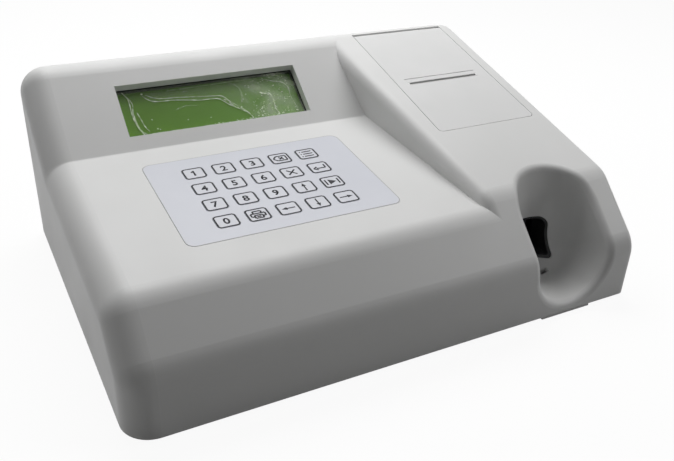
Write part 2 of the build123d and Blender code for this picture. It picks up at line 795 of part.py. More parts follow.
def strip_carriage():
    back = carriage_front + carriage_length
    top = carriage_z + carriage_thickness
    body = box(carriage_left, carriage_left + carriage_width, carriage_front, back, carriage_z, top)
    body = fillet(body.edges().filter_by(Axis.Z).group_by(Axis.Y)[0], 4.0)
    groove = box(well_x - strip_groove / 2, well_x + strip_groove / 2, carriage_front - 1,
                 back - tile_length - 6, top - strip_depth, top + 1)
    body = body - groove
    body = body - box(well_x - tile_width / 2 - 0.1, well_x + tile_width / 2 + 0.1,
                      back - tile_length - 4.1, back - 3.9, top - tile_depth, top + 1)
    for side in (-1, 1):
        x = well_x + side * rod_spacing / 2
        for y1 in (back, back - bushing_back):
            body = body + box(x - 4, x + 4, y1 - bushing_length, y1, rod_level - 4, carriage_z)
            body = body - cyl_y(y1 - bushing_length - 1, y1 + 1, x, rod_level,
                                rod_radius + rod_clearance)
    pitch = math.pi * drive_module
    tip_x, root_x = rack_pitch_x - 0.9 * drive_module, rack_pitch_x + 1.2 * drive_module
    slope = math.tan(math.radians(20))
    count = int((back - rack_front) / pitch)
    first = pinion_y + pitch / 2 - pitch * int((pinion_y - rack_front) / pitch)
    half = pitch / 4 - 0.07
    for i in range(count):
        y = first + pitch * i
        if y + pitch / 2 > back:
            continue
        wide = half + (root_x - rack_pitch_x) * slope
        narrow = half - (rack_pitch_x - tip_x) * slope
        tooth = Polyline((root_x, y - wide), (tip_x, y - narrow), (tip_x, y + narrow),
                         (root_x, y + wide), close=True)
        body = body + Pos(0, 0, top - rack_width) * extrude(make_face(tooth.edges()),
                                                            amount=rack_width)
    return body + box(root_x, carriage_left, rack_front, back, top - rack_width, top)


def reference_tile():
    back = carriage_front + carriage_length
    top = carriage_z + carriage_thickness
    return box(well_x - tile_width / 2, well_x + tile_width / 2, back - tile_length - 4, back - 4,
               top - tile_depth, top)


def drive_pinion():
    low = carriage_z + carriage_thickness - rack_width
    gear = Pos(pinion_x, pinion_y, low) * extrude(gear_face(pinion_teeth, drive_module, 0.0),
                                                  amount=rack_width)
    hub = cyl_z(low + rack_width, bridge_z - 0.5, pinion_x, pinion_y, 4.0)
    shaft = cyl_z(low, bridge_z + bridge_thickness + step_motor_height - 3, pinion_x, pinion_y,
                  step_shaft)
    return gear + hub + shaft


def drive_bridge():
    """Folded sheet bridge that carries the motor and the optical head over the strip path."""
    top = box(bridge_left, bridge_right, bridge_front, bridge_back, bridge_z,
              bridge_z + bridge_thickness)
    legs = []
    for x0, toe in ((bridge_left, -1), (bridge_right - bridge_thickness, 1)):
        legs.append(box(x0, x0 + bridge_thickness, bridge_front + 8, bridge_back, base_top,
                        bridge_z))
        toe_x = x0 - 8 if toe < 0 else x0 + bridge_thickness
        legs.append(box(toe_x, toe_x + 8, bridge_front + 8, bridge_back, base_top,
                        base_top + bridge_thickness))
    bridge = add(top, legs)
    bridge = bridge - cyl_z(bridge_z - 1, bridge_z + 5, pinion_x, pinion_y, 5.0)
    return bridge - cyl_z(bridge_z - 1, bridge_z + 5, well_x, head_y, snout_radius + 0.3)


def step_motor():
    low = bridge_z + bridge_thickness
    can = cyl_z(low, low + step_motor_height, pinion_x, pinion_y, step_motor_radius)
    can = fillet(can.edges().group_by(Axis.Z)[-1], 1.2)
    flange = Pos(pinion_x, pinion_y, low + 0.4) * extrude(
        SlotCenterToCenter(2 * step_motor_radius + 7, 7.0, rotation=90), amount=0.4, both=True)
    boss = cyl_z(bridge_z, low, pinion_x, pinion_y, 4.8)
    motor = can + flange + boss
    return motor - cyl_z(bridge_z - 1, low + step_motor_height - 2.5, pinion_x, pinion_y,
                         step_shaft + rod_clearance)


def optical_head():
    low = bridge_z + bridge_thickness
    body = box(well_x - head_width / 2, well_x + head_width / 2, head_y - head_length / 2,
               head_y + head_length / 2, low, low + head_rise)
    body = chamfer(body.edges().filter_by(Axis.X).group_by(Axis.Z)[-1], 4.0)
    snout = cyl_z(snout_bottom, low, well_x, head_y, snout_radius)
    window = cyl_z(snout_bottom - 1, low + 3, well_x, head_y, snout_radius - 2)
    return body + snout - window


def head_board():
    top = bridge_z + bridge_thickness + head_rise
    board = box(well_x - 9.5, well_x + 9.5, head_y - 8, head_y + 8, top, top + board_thickness)
    plug = box(well_x - 5, well_x + 5, head_y - 3, head_y + 3, top + board_thickness,
               top + board_thickness + 4)
    return board + plug


# ---- printer ---------------------------------------------------------------------------------
def printer_cover():
    width = cover_right - cover_left
    middle = (cover_left + cover_right) / 2
    lid = plate(block_plane(middle, (cover_s0 + hinge_s) / 2, 0), width, hinge_s - cover_s0,
                cover_thickness)
    axis = block_plane(0, 0, 0).z_axis
    corners = [e for e in lid.edges().filter_by(axis) if e.center().Y < cover_front_y + 20]
    lid = fillet(ShapeList(corners), cover_corner)
    barrel = cyl_x(cover_left, cover_right, hinge_point.Y, hinge_point.Z, barrel_radius)
    lid = lid + barrel
    ribs = [plate(block_plane(middle, s, -cover_thickness), width - 2 * ledge_width - 6, 1.2, 1.5)
            for s in (cover_s0 + 14, slot_s + 12, slot_s + 34)]
    lid = add(lid, ribs)
    slot = plate(block_plane(slot_x, slot_s, 5), slot_width, slot_opening, 20,
                 slot_opening / 2 - 0.01)
    tear = plate(block_plane(slot_x, slot_s + tear_offset, 5), tear_width, tear_thickness,
                 5 + tear_depth)
    bore = cyl_x(cover_left - 1, cover_right + 1, hinge_point.Y, hinge_point.Z,
                 pin_radius + pin_clearance)
    return cut(lid, [slot, tear, bore])


def cover_pin():
    reach = cover_gap + ear_thickness
    return cyl_x(cover_left - reach, cover_right + reach, hinge_point.Y, hinge_point.Z, pin_radius)


def printer_frame():
    def side_outline(margin):
        drop = tub_drop if margin == 0 else -30.0
        low = tub_floor + margin
        y0, y1 = tub_front + margin, tub_back - margin
        points = [(y0, low), (y0, block_top_z(y0) - drop), (y1, block_top_z(y1) - drop), (y1, low)]
        return rounded_profile(points, [tub_wall, 0, 0, tub_wall])

    tub = extrude(Pos(tub_left, 0, 0) * side_outline(0), amount=tub_right - tub_left,
                  dir=(1, 0, 0))
    tub = tub - extrude(Pos(tub_left + tub_wall, 0, 0) * side_outline(tub_wall),
                        amount=tub_right - tub_left - 2 * tub_wall, dir=(1, 0, 0))
    floor = tub_floor + tub_wall
    for x0 in (cheek_left, cheek_right - cheek_thickness):
        x1 = x0 + cheek_thickness
        front_cheek = box(x0, x1, platen_cheek_front, platen_cheek_back, floor, platen_z + 8)
        top_edges = front_cheek.edges().filter_by(Axis.X).group_by(Axis.Z)[-1]
        tub = tub + fillet(top_edges, 5.0)
        roll_cheek = box(x0, x1, roll_y - 9, roll_y + 9, floor, roll_z + 7)
        roll_cheek = fillet(roll_cheek.edges().filter_by(Axis.X).group_by(Axis.Z)[-1], 3.0)
        seat = cyl_x(x0 - 1, x1 + 1, roll_y, roll_z, spindle_tip + 0.1) \
            + box(x0 - 1, x1 + 1, roll_y - spindle_tip - 0.1, roll_y + spindle_tip + 0.1, roll_z,
                  roll_z + 20)
        tub = tub + (roll_cheek - seat)
        tub = tub - cyl_x(x0 - 1, x1 + 1, platen_y, platen_z, platen_shaft + rod_clearance)
    motor_y, motor_z = printer_motor_centre()
    return tub - cyl_x(cheek_right - cheek_thickness - 1, cheek_right + 1, motor_y, motor_z, 2.2)


def printer_motor_centre():
    distance = printer_module * (platen_teeth + motor_teeth) / 2
    a = math.radians(gear_angle)
    return platen_y + distance * math.cos(a), platen_z + distance * math.sin(a)


def platen_roller():
    x0, x1 = cheek_left + cheek_thickness + 1, cheek_right - cheek_thickness - 1
    roller = cyl_x(x0 + 1.5, x1 - 1.5, platen_y, platen_z, platen_radius)
    shaft = cyl_x(cheek_left - 1.5, gear_left + gear_width, platen_y, platen_z, platen_shaft)
    return roller + shaft


def platen_gear():
    gear = gear_x(platen_teeth, printer_module, gear_left, gear_left + gear_width, platen_y,
                  platen_z, gear_angle)
    return gear - cyl_x(gear_left - 1, gear_left + 5, platen_y, platen_z,
                        platen_shaft + press_clearance)


def motor_gear():
    y, z = printer_motor_centre()
    gear = gear_x(motor_teeth, printer_module, gear_left, gear_left + gear_width, y, z,
                  gear_angle + 180 + 180 / motor_teeth)
    shaft_start = cheek_right - cheek_thickness - printer_motor_length + 3
    return gear + cyl_x(shaft_start, gear_left + gear_width, y, z, printer_motor_shaft)


def printer_motor():
    y, z = printer_motor_centre()
    x1 = cheek_right - cheek_thickness
    can = cyl_x(x1 - printer_motor_length, x1, y, z, printer_motor_radius)
    can = fillet(can.edges().group_by(Axis.X)[0], 1.0)
    return can - cyl_x(x1 - printer_motor_length + 2, x1 + 1, y, z,
                       printer_motor_shaft + rod_clearance)


def print_head():
    y0 = platen_y + platen_radius + head_gap
    x0, x1 = cheek_left + cheek_thickness + 2.5, cheek_right - cheek_thickness - 2.5
    floor = tub_floor + tub_wall
    ceramic = box(x0, x1, y0, y0 + head_thickness, platen_z - head_height / 2,
                  platen_z + head_height / 2)
    sink = box(x0, x1, y0 + head_thickness, y0 + head_thickness + 2.5, floor,
               platen_z + head_height / 2 - 3)
    fins = [box(x0, x1, y0 + head_thickness + 2.5, y0 + head_thickness + 5.0,
                floor + 6 + 5 * i, floor + 7 + 5 * i) for i in range(5)]
    return add(ceramic + sink, fins)


def paper_roll():
    x0 = slot_x - roll_width / 2
    roll = cyl_x(x0, x0 + roll_width, roll_y, roll_z, roll_radius)
    return roll - cyl_x(x0 - 1, x0 + roll_width + 1, roll_y, roll_z, roll_core)


def paper_spindle():
    body = cyl_x(cheek_left + cheek_thickness + 1, cheek_right - cheek_thickness - 1, roll_y,
                 roll_z, spindle_radius)
    return body + cyl_x(cheek_left - 0.5, cheek_right + 0.5, roll_y, roll_z, spindle_tip)


# ---- display ---------------------------------------------------------------------------------
def lcd_bezel():
    width, height = lcd_width + 2 * bezel_margin, lcd_height + 2 * bezel_margin
    frame = plate(lcd_plane(lcd_x, lcd_u, -lcd_recess), width, height, bezel_depth, 1.5)
    inside = plate(lcd_plane(lcd_x, lcd_u, -lcd_recess - bezel_plate), width - 2 * bezel_plate,
                   height - 2 * bezel_plate, bezel_depth)
    window = plate(lcd_plane(lcd_x, lcd_u, 0), lcd_width + 2 * bezel_window_margin,
                   lcd_height + 2 * bezel_window_margin, 20)
    return cut(frame, [inside, window])


def lcd_glass():
    return plate(lcd_plane(lcd_x, lcd_u, -lcd_recess - bezel_plate), lcd_width + 2 * glass_margin,
                 lcd_height + 2 * glass_margin, bezel_depth - bezel_plate)


def lcd_film():
    return plate(lcd_plane(lcd_x, lcd_u, -lcd_recess - bezel_plate + film_thickness),
                 lcd_width - film_margin, lcd_height - film_margin, film_thickness)


def lcd_board():
    board = plate(lcd_plane(lcd_x, lcd_u, -lcd_board_drop), lcd_board_width, lcd_board_height,
                  board_thickness)
    back = -lcd_board_drop - board_thickness
    chips = [plate(lcd_plane(lcd_x + x, lcd_u + 8, back), 18, 18, 1.8) for x in (-50, 0, 50)]
    plug = plate(lcd_plane(lcd_x, lcd_u - lcd_board_height / 2 + 8, back), 50, 6, 7)
    board = add(board, chips + [plug])
    holes = [lcd_plane(lcd_x + x, lcd_u + u, -lcd_board_drop) * Cylinder(1.6, 10)
             for x, u in lcd_boss_places]
    return cut(board, holes)


# ---- keypad ----------------------------------------------------------------------------------
def key_places():
    return [(key_first_x + key_pitch_x * i, key_first_s - key_pitch_y * j)
            for j in range(key_rows) for i in range(key_columns)]


def keypad_overlay():
    sheet = plate(deck_plane(overlay_x, overlay_s, overlay_top), overlay_width, overlay_length,
                  overlay_thickness, overlay_radius)
    holes = [plate(deck_plane(x, s, 5), key_width + 2 * key_gap, key_length + 2 * key_gap, 10,
                   key_radius + key_gap) for x, s in key_places()]
    return cut(sheet, holes)


def keypad_board():
    board = plate(deck_plane(field_x, field_s, -keypad_board_drop), pad_board_width,
                  pad_board_length, board_thickness)
    domes = [deck_plane(x, s, -keypad_board_drop + dome_height / 2)
             * Cylinder(dome_radius, dome_height) for x, s in key_places()]
    holes = [deck_plane(field_x + x, field_s + s, -keypad_board_drop) * Cylinder(1.6, 10)
             for x, s in pad_boss_places]
    plug = plate(deck_plane(field_x, field_s + 30, -keypad_board_drop - board_thickness), 30, 6, 7)
    return cut(add(board, domes + [plug]), holes)


def key(x, s):
    top = overlay_top + key_proud
    cap = plate(deck_plane(x, s, top), key_width, key_length, key_cap, key_radius)
    under = overlay_top - overlay_thickness - 0.05
    skirt = plate(deck_plane(x, s, under), key_width + 1.6, key_length + 1.6, key_cap + under - top
                  + 0.3, key_radius + 0.8)
    stem_end = -keypad_board_drop + dome_height + key_travel + 0.05
    stem_length = under - stem_end
    stem = deck_plane(x, s, under - stem_length / 2) * Cylinder(key_stem_radius, stem_length)
    return cap + skirt + stem


# ---- boards and supply -----------------------------------------------------------------------
def main_board():
    z0 = base_top + standoff_height
    board = box(board_left, board_right, board_front, board_back, z0, z0 + board_thickness)
    def on_board(across, along):
        return (board_left + across * (board_right - board_left),
                board_front + along * (board_back - board_front))

    parts = []
    for across, along, w, d, h in board_parts:
        x, y = on_board(across, along)
        parts.append(box(x, x + w, y, y + d, board_top, board_top + h))
    for across, along, r, h in board_cans:
        x, y = on_board(across, along)
        parts.append(cyl_z(board_top, board_top + h, x, y, r))
    board = add(board, parts)
    return cut(board, [cyl_z(z0 - 1, board_top + 1, x, y, 1.6) for x, y in standoff_places])


def board_screws():
    """Pan-head screws of the display, keypad and main boards."""
    screws = []
    for x, u in lcd_boss_places:
        spot = lcd_plane(lcd_x + x, lcd_u + u, -lcd_board_drop - board_thickness - 0.9)
        screws.append(spot * Cylinder(2.6, 1.8) + spot * Pos(0, 0, 1.3) * Cylinder(1.4, 2.2))
    for x, s in pad_boss_places:
        spot = deck_plane(field_x + x, field_s + s, -keypad_board_drop - board_thickness - 0.9)
        screws.append(spot * Cylinder(2.6, 1.8) + spot * Pos(0, 0, 1.3) * Cylinder(1.4, 2.2))
    for x, y in standoff_places:
        screws.append(cyl_z(board_top, board_top + 1.8, x, y, 2.6)
                      + cyl_z(board_top - 1.4, board_top + 0.5, x, y, 1.4))
    return Compound(children=[s.solid() for s in screws])


def transformer():
    x0, y0 = supply_left, supply_front
    core = box(x0, x0 + supply_width, y0 + 12, y0 + supply_length - 12, base_top + 3,
               base_top + supply_height)
    coil = box(x0 + 7, x0 + supply_width - 7, y0, y0 + supply_length, base_top + 9,
               base_top + supply_height - 7)
    coil = fillet(coil.edges().filter_by(Axis.Z), 5.0)
    foot = box(x0, x0 + supply_width, y0 + 4, y0 + supply_length - 4, base_top, base_top + 3)
    return core + coil + foot


def power_inlet():
    x, z = inlet_x, panel_z
    face = panel_y + flange_thickness
    body = box(x - inlet_width / 2, x + inlet_width / 2, panel_y - inlet_depth, panel_y,
               z - inlet_height / 2, z + inlet_height / 2)
    flange = box(x - inlet_width / 2 - 2, x + inlet_width / 2 + 2, panel_y, face,
                 z - inlet_height / 2 - 1.6, z + inlet_height / 2 + 1.6)
    mouth = box(x - socket_width / 2, x + socket_width / 2, face - socket_depth, face + 1,
                z - socket_height / 2, z + socket_height / 2)
    mouth = chamfer(mouth.edges().filter_by(Axis.Y).group_by(Axis.Z)[-1], 4.5)
    pins = [box(x + dx - 1, x + dx + 1, face - socket_depth - 0.5, face - pin_setback, z + dz - 2,
                z + dz + 2) for dx, dz in ((-7, -1.5), (0, 2.5), (7, -1.5))]
    return add(body + flange - mouth, pins)


def power_switch():
    x, z = switch_x, panel_z
    face = panel_y + flange_thickness
    body = box(x - switch_width / 2, x + switch_width / 2, panel_y - switch_depth, panel_y,
               z - switch_height / 2, z + switch_height / 2)
    flange = box(x - switch_width / 2 - 1.5, x + switch_width / 2 + 1.5, panel_y, face,
                 z - switch_height / 2 - 1.4, z + switch_height / 2 + 1.4)
    hollow = box(x - rocker_width / 2 - 0.3, x + rocker_width / 2 + 0.3, face - rocker_well,
                 face + 1, z - rocker_height / 2 - 0.9, z + rocker_height / 2 + 0.9)
    bore = cyl_x(x - rocker_width / 2 - 1.2, x + rocker_width / 2 + 1.2, rocker_y, z,
                 rocker_pin + rod_clearance)
    return cut(body + flange, [hollow, bore])


def power_rocker():
    x, z = switch_x, panel_z
    half = rocker_height / 2
    outline = Polyline((-half, 1.2), (-half, 4.6), (0, 3.2), (half, 4.6), (half, 1.2), (2.2, -1.6),
                       (-2.2, -1.6), close=True)
    plane = Plane(origin=(x - rocker_width / 2, 0, 0), x_dir=(0, 0, 1), z_dir=(-1, 0, 0))
    shape = extrude(plane * make_face(outline.edges()), amount=rocker_width, dir=(1, 0, 0))
    shape = shape + cyl_x(x - rocker_width / 2 - 1, x + rocker_width / 2 + 1, 0, 0, rocker_pin)
    return Pos(0, rocker_y, z) * Rot(rocker_tilt, 0, 0) * shape


def fuse_holder():
    x, z = fuse_x, panel_z
    face = panel_y + flange_thickness
    body = cyl_y(panel_y - 24, panel_y, x, z, fuse_radius)
    flange = cyl_y(panel_y, face, x, z, fuse_radius + 1.8)
    cap = cyl_y(face, face + 1.6, x, z, fuse_radius - 1)
    slot = box(x - fuse_radius + 2, x + fuse_radius - 2, face + 0.6, face + 3, z - 0.6, z + 0.6)
    return body + flange + cap - slot


def serial_port():
    x, z = port_x, panel_z
    body = box(x - dsub_width / 2, x + dsub_width / 2, panel_y - 10, panel_y, z - dsub_height / 2,
               z + dsub_height / 2)
    flange = box(x - 15.4, x + 15.4, panel_y, panel_y + 0.8, z - 6.25, z + 6.25)
    outline = Polyline((-8.2, 3.9), (8.2, 3.9), (7.0, -3.9), (-7.0, -3.9), close=True)
    plane = Plane(origin=(x, panel_y + 0.8, z), x_dir=(1, 0, 0), z_dir=(0, -1, 0))
    shell = extrude(plane * make_face(outline.edges()), amount=2.8, dir=(0, 1, 0))
    port = body + flange + shell
    for side in (-1, 1):
        nut = Plane(origin=(x + side * 12.5, panel_y + 0.8, z), x_dir=(1, 0, 0), z_dir=(0, 1, 0)) \
            * RegularPolygon(2.8, 6)
        port = port + extrude(nut, amount=2.4, dir=(0, 1, 0))
    sockets = [(dx * 2.75, 1.42) for dx in (-2, -1, 0, 1, 2)] \
        + [((dx + 0.5) * 2.75, -1.42) for dx in (-2, -1, 0, 1)]
    return cut(port, [cyl_y(panel_y + 2.2, panel_y + 5, x + dx, z + dz, 0.6) for dx, dz in sockets])


def save(name, shape):
    moved = Pos(-overall_width / 2, -overall_depth / 2, foot_gap) * shape
    solids = moved.solids()
    result = solids[0] if len(solids) == 1 else Compound(children=list(solids))
    export_step(result, f"parts/{name}.step")


pieces = [upper_housing, base_plate, base_screws, rubber_feet, drip_tray, tray_runners,
          strip_tunnel, guide_rods, rod_mount, strip_carriage, reference_tile, drive_pinion,
          drive_bridge, step_motor, optical_head, head_board, printer_cover, cover_pin,
          printer_frame, platen_roller, platen_gear, motor_gear, printer_motor, print_head,
          paper_roll, paper_spindle, lcd_bezel, lcd_glass, lcd_film, lcd_board, keypad_overlay,
          keypad_board, main_board, board_screws, transformer, power_inlet, power_switch,
          power_rocker, fuse_holder, serial_port]
for make in pieces:
    save(make.__name__, make())
for name, (x, s) in zip(key_names, key_places()):
    save("key_" + name, key(x, s))
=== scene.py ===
import json
import math
import random

import bmesh
import bpy
from mathutils import Euler, Matrix, Vector, noise


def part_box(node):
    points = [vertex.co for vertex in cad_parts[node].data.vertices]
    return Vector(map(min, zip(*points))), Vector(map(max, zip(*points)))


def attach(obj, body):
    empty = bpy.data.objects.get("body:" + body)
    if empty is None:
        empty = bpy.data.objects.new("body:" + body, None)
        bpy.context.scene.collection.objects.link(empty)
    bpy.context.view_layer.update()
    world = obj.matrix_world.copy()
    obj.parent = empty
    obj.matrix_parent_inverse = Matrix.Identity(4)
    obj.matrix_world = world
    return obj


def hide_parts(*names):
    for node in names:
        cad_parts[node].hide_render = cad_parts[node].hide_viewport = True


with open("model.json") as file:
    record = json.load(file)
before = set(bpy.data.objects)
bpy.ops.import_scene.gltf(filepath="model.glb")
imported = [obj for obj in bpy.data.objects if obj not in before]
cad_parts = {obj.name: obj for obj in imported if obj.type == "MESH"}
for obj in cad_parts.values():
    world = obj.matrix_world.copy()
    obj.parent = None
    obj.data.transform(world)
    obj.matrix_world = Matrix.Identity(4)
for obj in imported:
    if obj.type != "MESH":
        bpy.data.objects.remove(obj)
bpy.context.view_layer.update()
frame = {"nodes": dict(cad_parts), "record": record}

nodes = frame["nodes"]
slotOfNode = {row["node"]: row["material_slot"] for row in frame["record"]["subparts"]}
scene = bpy.context.scene
mm = 0.001
print("frame loaded:", len(nodes), "nodes")

# shader helpers; the owner of a node tree is a material or the world
noiseSpan = (0.3, 0.7)      # noise mostly stays between these


def newMaterial(name):
    material = bpy.data.materials.new(name)
    material.use_nodes = True
    return material, material.node_tree.nodes["Principled BSDF"]


def link(owner, source, target):
    owner.node_tree.links.new(source, target)


def feed(owner, value, socket):      # takes another node's output, a number or a colour
    if hasattr(value, "is_output"):
        link(owner, value, socket)
    else:
        socket.default_value = value if isinstance(value, float) else (*value, 1.0)


def objectPlace(material, scale=(1.0, 1.0, 1.0)):
    place = material.node_tree.nodes.new("ShaderNodeTexCoord")
    mapping = material.node_tree.nodes.new("ShaderNodeMapping")
    mapping.inputs["Scale"].default_value = scale
    link(material, place.outputs["Object"], mapping.inputs["Vector"])
    return mapping.outputs["Vector"]


def splitPlace(material):      # x, y and z in the object's frame
    split = material.node_tree.nodes.new("ShaderNodeSeparateXYZ")
    link(material, objectPlace(material), split.inputs["Vector"])
    return split.outputs


def noiseField(material, size, detail=3.0, stretch=(1.0, 1.0, 1.0), distortion=0.0):
    field = material.node_tree.nodes.new("ShaderNodeTexNoise")
    field.inputs["Scale"].default_value = 1.0 / size
    field.inputs["Detail"].default_value = detail
    field.inputs["Distortion"].default_value = distortion
    link(material, objectPlace(material, stretch), field.inputs["Vector"])
    return field.outputs["Fac"]


def ramp(material, value, low, high, span=noiseSpan):      # from one colour to another
    node = material.node_tree.nodes.new("ShaderNodeValToRGB")
    for element, place, color in zip(node.color_ramp.elements, span, (low, high)):
        element.position = place
        element.color = (*color, 1.0)
    link(material, value, node.inputs["Fac"])
    return node.outputs["Color"]


def spread(material, value, low, high, fromLow=noiseSpan[0], fromHigh=noiseSpan[1]):
    node = material.node_tree.nodes.new("ShaderNodeMapRange")
    node.inputs["From Min"].default_value = fromLow
    node.inputs["From Max"].default_value = fromHigh
    node.inputs["To Min"].default_value = low
    node.inputs["To Max"].default_value = high
    link(material, value, node.inputs["Value"])
    return node.outputs["Result"]


def blendColor(material, factor, first, second):
    node = material.node_tree.nodes.new("ShaderNodeMix")
    node.data_type = "RGBA"
    feed(material, factor, node.inputs["Factor"])
    feed(material, first, node.inputs[6])      # A and B of the colour mix
    feed(material, second, node.inputs[7])
    return node.outputs[2]


def combine(owner, operation, first, second=0.0):
    node = owner.node_tree.nodes.new("ShaderNodeMath")
    node.operation = operation
    feed(owner, first, node.inputs[0])
    feed(owner, second, node.inputs[1])
    return node.outputs[0]


def nearMask(material, along, middle, near, far):      # 1 within near of the middle, 0 past far
    away = combine(material, "ABSOLUTE", combine(material, "SUBTRACT", along, middle))
    return spread(material, away, 1.0, 0.0, near, far)


def bump(material, shader, height, depth):
    node = material.node_tree.nodes.new("ShaderNodeBump")
    node.inputs["Distance"].default_value = depth
    node.inputs["Strength"].default_value = 1.0
    link(material, height, node.inputs["Height"])
    link(material, node.outputs["Normal"], shader.inputs["Normal"])


# each look gives two tones, the size of their patches, a range of roughness, the size and
# depth of the grain, and plain values of the shader
noiseDetail = {"patch": 4.0, "wear": 5.0, "grain": 2.0}
wearSize = 0.45      # of a patch
looks = {
    "housing_shell": {
        "tones": ((0.665, 0.668, 0.66), (0.70, 0.70, 0.695)), "patch": 90 * mm,
        "rough": (0.42, 0.52), "grain": (1.1 * mm, 0.014 * mm),
        "plain": {"Specular IOR Level": 0.4}},
    "cover_shell": {
        "tones": ((0.66, 0.663, 0.658), (0.69, 0.69, 0.688)), "patch": 50 * mm,
        "rough": (0.44, 0.54), "grain": (1.0 * mm, 0.014 * mm),
        "plain": {"Specular IOR Level": 0.4}},
    "overlay_sheet": {
        "tones": ((0.552, 0.566, 0.622), (0.580, 0.596, 0.652)), "patch": 60 * mm,
        "rough": (0.30, 0.40), "grain": (0.6 * mm, 0.01 * mm),
        "plain": {"Specular IOR Level": 0.5}},
    "key_film": {
        "tones": ((0.562, 0.574, 0.622), (0.590, 0.602, 0.652)), "patch": 30 * mm,
        "rough": (0.30, 0.40), "grain": (0.6 * mm, 0.01 * mm),
        "plain": {"Specular IOR Level": 0.5}},
    "plated_steel": {
        "tones": ((0.44, 0.45, 0.46), (0.55, 0.56, 0.57)), "patch": 20 * mm,
        "rough": (0.25, 0.42), "grain": (0.8 * mm, 0.01 * mm),
        "plain": {"Metallic": 1.0}},
    "ground_steel": {
        "tones": ((0.60, 0.61, 0.62), (0.74, 0.75, 0.76)), "patch": 10 * mm,
        "rough": (0.12, 0.24), "grain": (0.5 * mm, 0.004 * mm),
        "stretch": (1.0, 0.1, 1.0), "plain": {"Metallic": 1.0}},
    "brass_gear": {
        "tones": ((0.62, 0.44, 0.17), (0.78, 0.58, 0.25)), "patch": 6 * mm,
        "rough": (0.22, 0.40), "grain": (0.4 * mm, 0.006 * mm),
        "plain": {"Metallic": 1.0}},
    "black_plastic": {
        "tones": ((0.008, 0.008, 0.009), (0.016, 0.016, 0.017)), "patch": 20 * mm,
        "rough": (0.42, 0.58), "grain": (0.7 * mm, 0.03 * mm),
        "plain": {"Specular IOR Level": 0.22}},
    "grey_plastic": {
        "tones": ((0.22, 0.225, 0.23), (0.29, 0.295, 0.30)), "patch": 20 * mm,
        "rough": (0.42, 0.56), "grain": (0.8 * mm, 0.03 * mm)},
    "white_plastic": {
        "tones": ((0.66, 0.66, 0.64), (0.74, 0.74, 0.72)), "patch": 20 * mm,
        "rough": (0.35, 0.48), "grain": (0.8 * mm, 0.02 * mm)},
    "soft_rubber": {
        "tones": ((0.018, 0.018, 0.019), (0.035, 0.035, 0.037)), "patch": 8 * mm,
        "rough": (0.68, 0.82), "grain": (0.6 * mm, 0.05 * mm)},
    "thermal_paper": {
        "tones": ((0.78, 0.78, 0.765), (0.84, 0.84, 0.825)), "patch": 20 * mm,
        "rough": (0.48, 0.62), "grain": (0.4 * mm, 0.01 * mm)},
    "coil_core": {
        "tones": ((0.10, 0.085, 0.06), (0.22, 0.17, 0.10)), "patch": 15 * mm,
        "rough": (0.40, 0.60), "grain": (1.2 * mm, 0.08 * mm),
        "stretch": (0.3, 1.0, 3.0)},
    "aluminium_sink": {
        "tones": ((0.58, 0.59, 0.60), (0.72, 0.73, 0.74)), "patch": 20 * mm,
        "rough": (0.30, 0.46), "grain": (0.7 * mm, 0.01 * mm),
        "stretch": (0.1, 1.0, 1.0), "plain": {"Metallic": 1.0}},
}


def makeFinish(name, look):
    material, shader = newMaterial(name)
    stretch = look.get("stretch", (1.0, 1.0, 1.0))
    grainSize, grainDepth = look["grain"]
    patches = noiseField(material, look["patch"], noiseDetail["patch"], stretch)
    wear = noiseField(material, look["patch"] * wearSize, noiseDetail["wear"], stretch)
    grain = noiseField(material, grainSize, noiseDetail["grain"], stretch)
    link(material, ramp(material, patches, *look["tones"]), shader.inputs["Base Color"])
    link(material, spread(material, wear, *look["rough"]), shader.inputs["Roughness"])
    bump(material, shader, grain, grainDepth)
    for socket, value in look.get("plain", {}).items():
        shader.inputs[socket].default_value = value
    return material


slotMaterials = {slotName: makeFinish(slotName, look) for slotName, look in looks.items()}

board = {
    "lacquer": ((0.008, 0.085, 0.030), (0.014, 0.12, 0.045)),
    "patch": 20 * mm,
    "track": (0.03, 0.20, 0.07),
    "tracksPerMetre": 260.0,
    "unevenness": 0.7,
    "trackEdge": (0.42, 0.5),      # how far from a cell's middle the copper starts
    "trackHeight": 0.02 * mm,
    "rough": (0.28, 0.42),
    "roughEdge": (0.2, 0.6),
}


def boardFinish():      # green lacquer over copper tracks
    material, shader = newMaterial("circuit_board")
    tracks = material.node_tree.nodes.new("ShaderNodeTexVoronoi")
    tracks.distance = "MANHATTAN"
    tracks.feature = "F1"
    tracks.inputs["Scale"].default_value = board["tracksPerMetre"]
    tracks.inputs["Randomness"].default_value = board["unevenness"]
    link(material, objectPlace(material), tracks.inputs["Vector"])
    away = tracks.outputs["Distance"]
    lacquer = ramp(material, noiseField(material, board["patch"]), *board["lacquer"])
    line = spread(material, away, 1.0, 0.0, *board["trackEdge"])
    tone = blendColor(material, line, lacquer, board["track"])
    link(material, tone, shader.inputs["Base Color"])
    rough = spread(material, away, *board["rough"], *board["roughEdge"])
    link(material, rough, shader.inputs["Roughness"])
    bump(material, shader, line, board["trackHeight"])
    return material


slotMaterials["circuit_board"] = boardFinish()

tilts = {"deck": 4.9, "display": 36.7}      # degrees from level
faceDepth = 0.03 * mm                       # a top face is what lies within this of the top


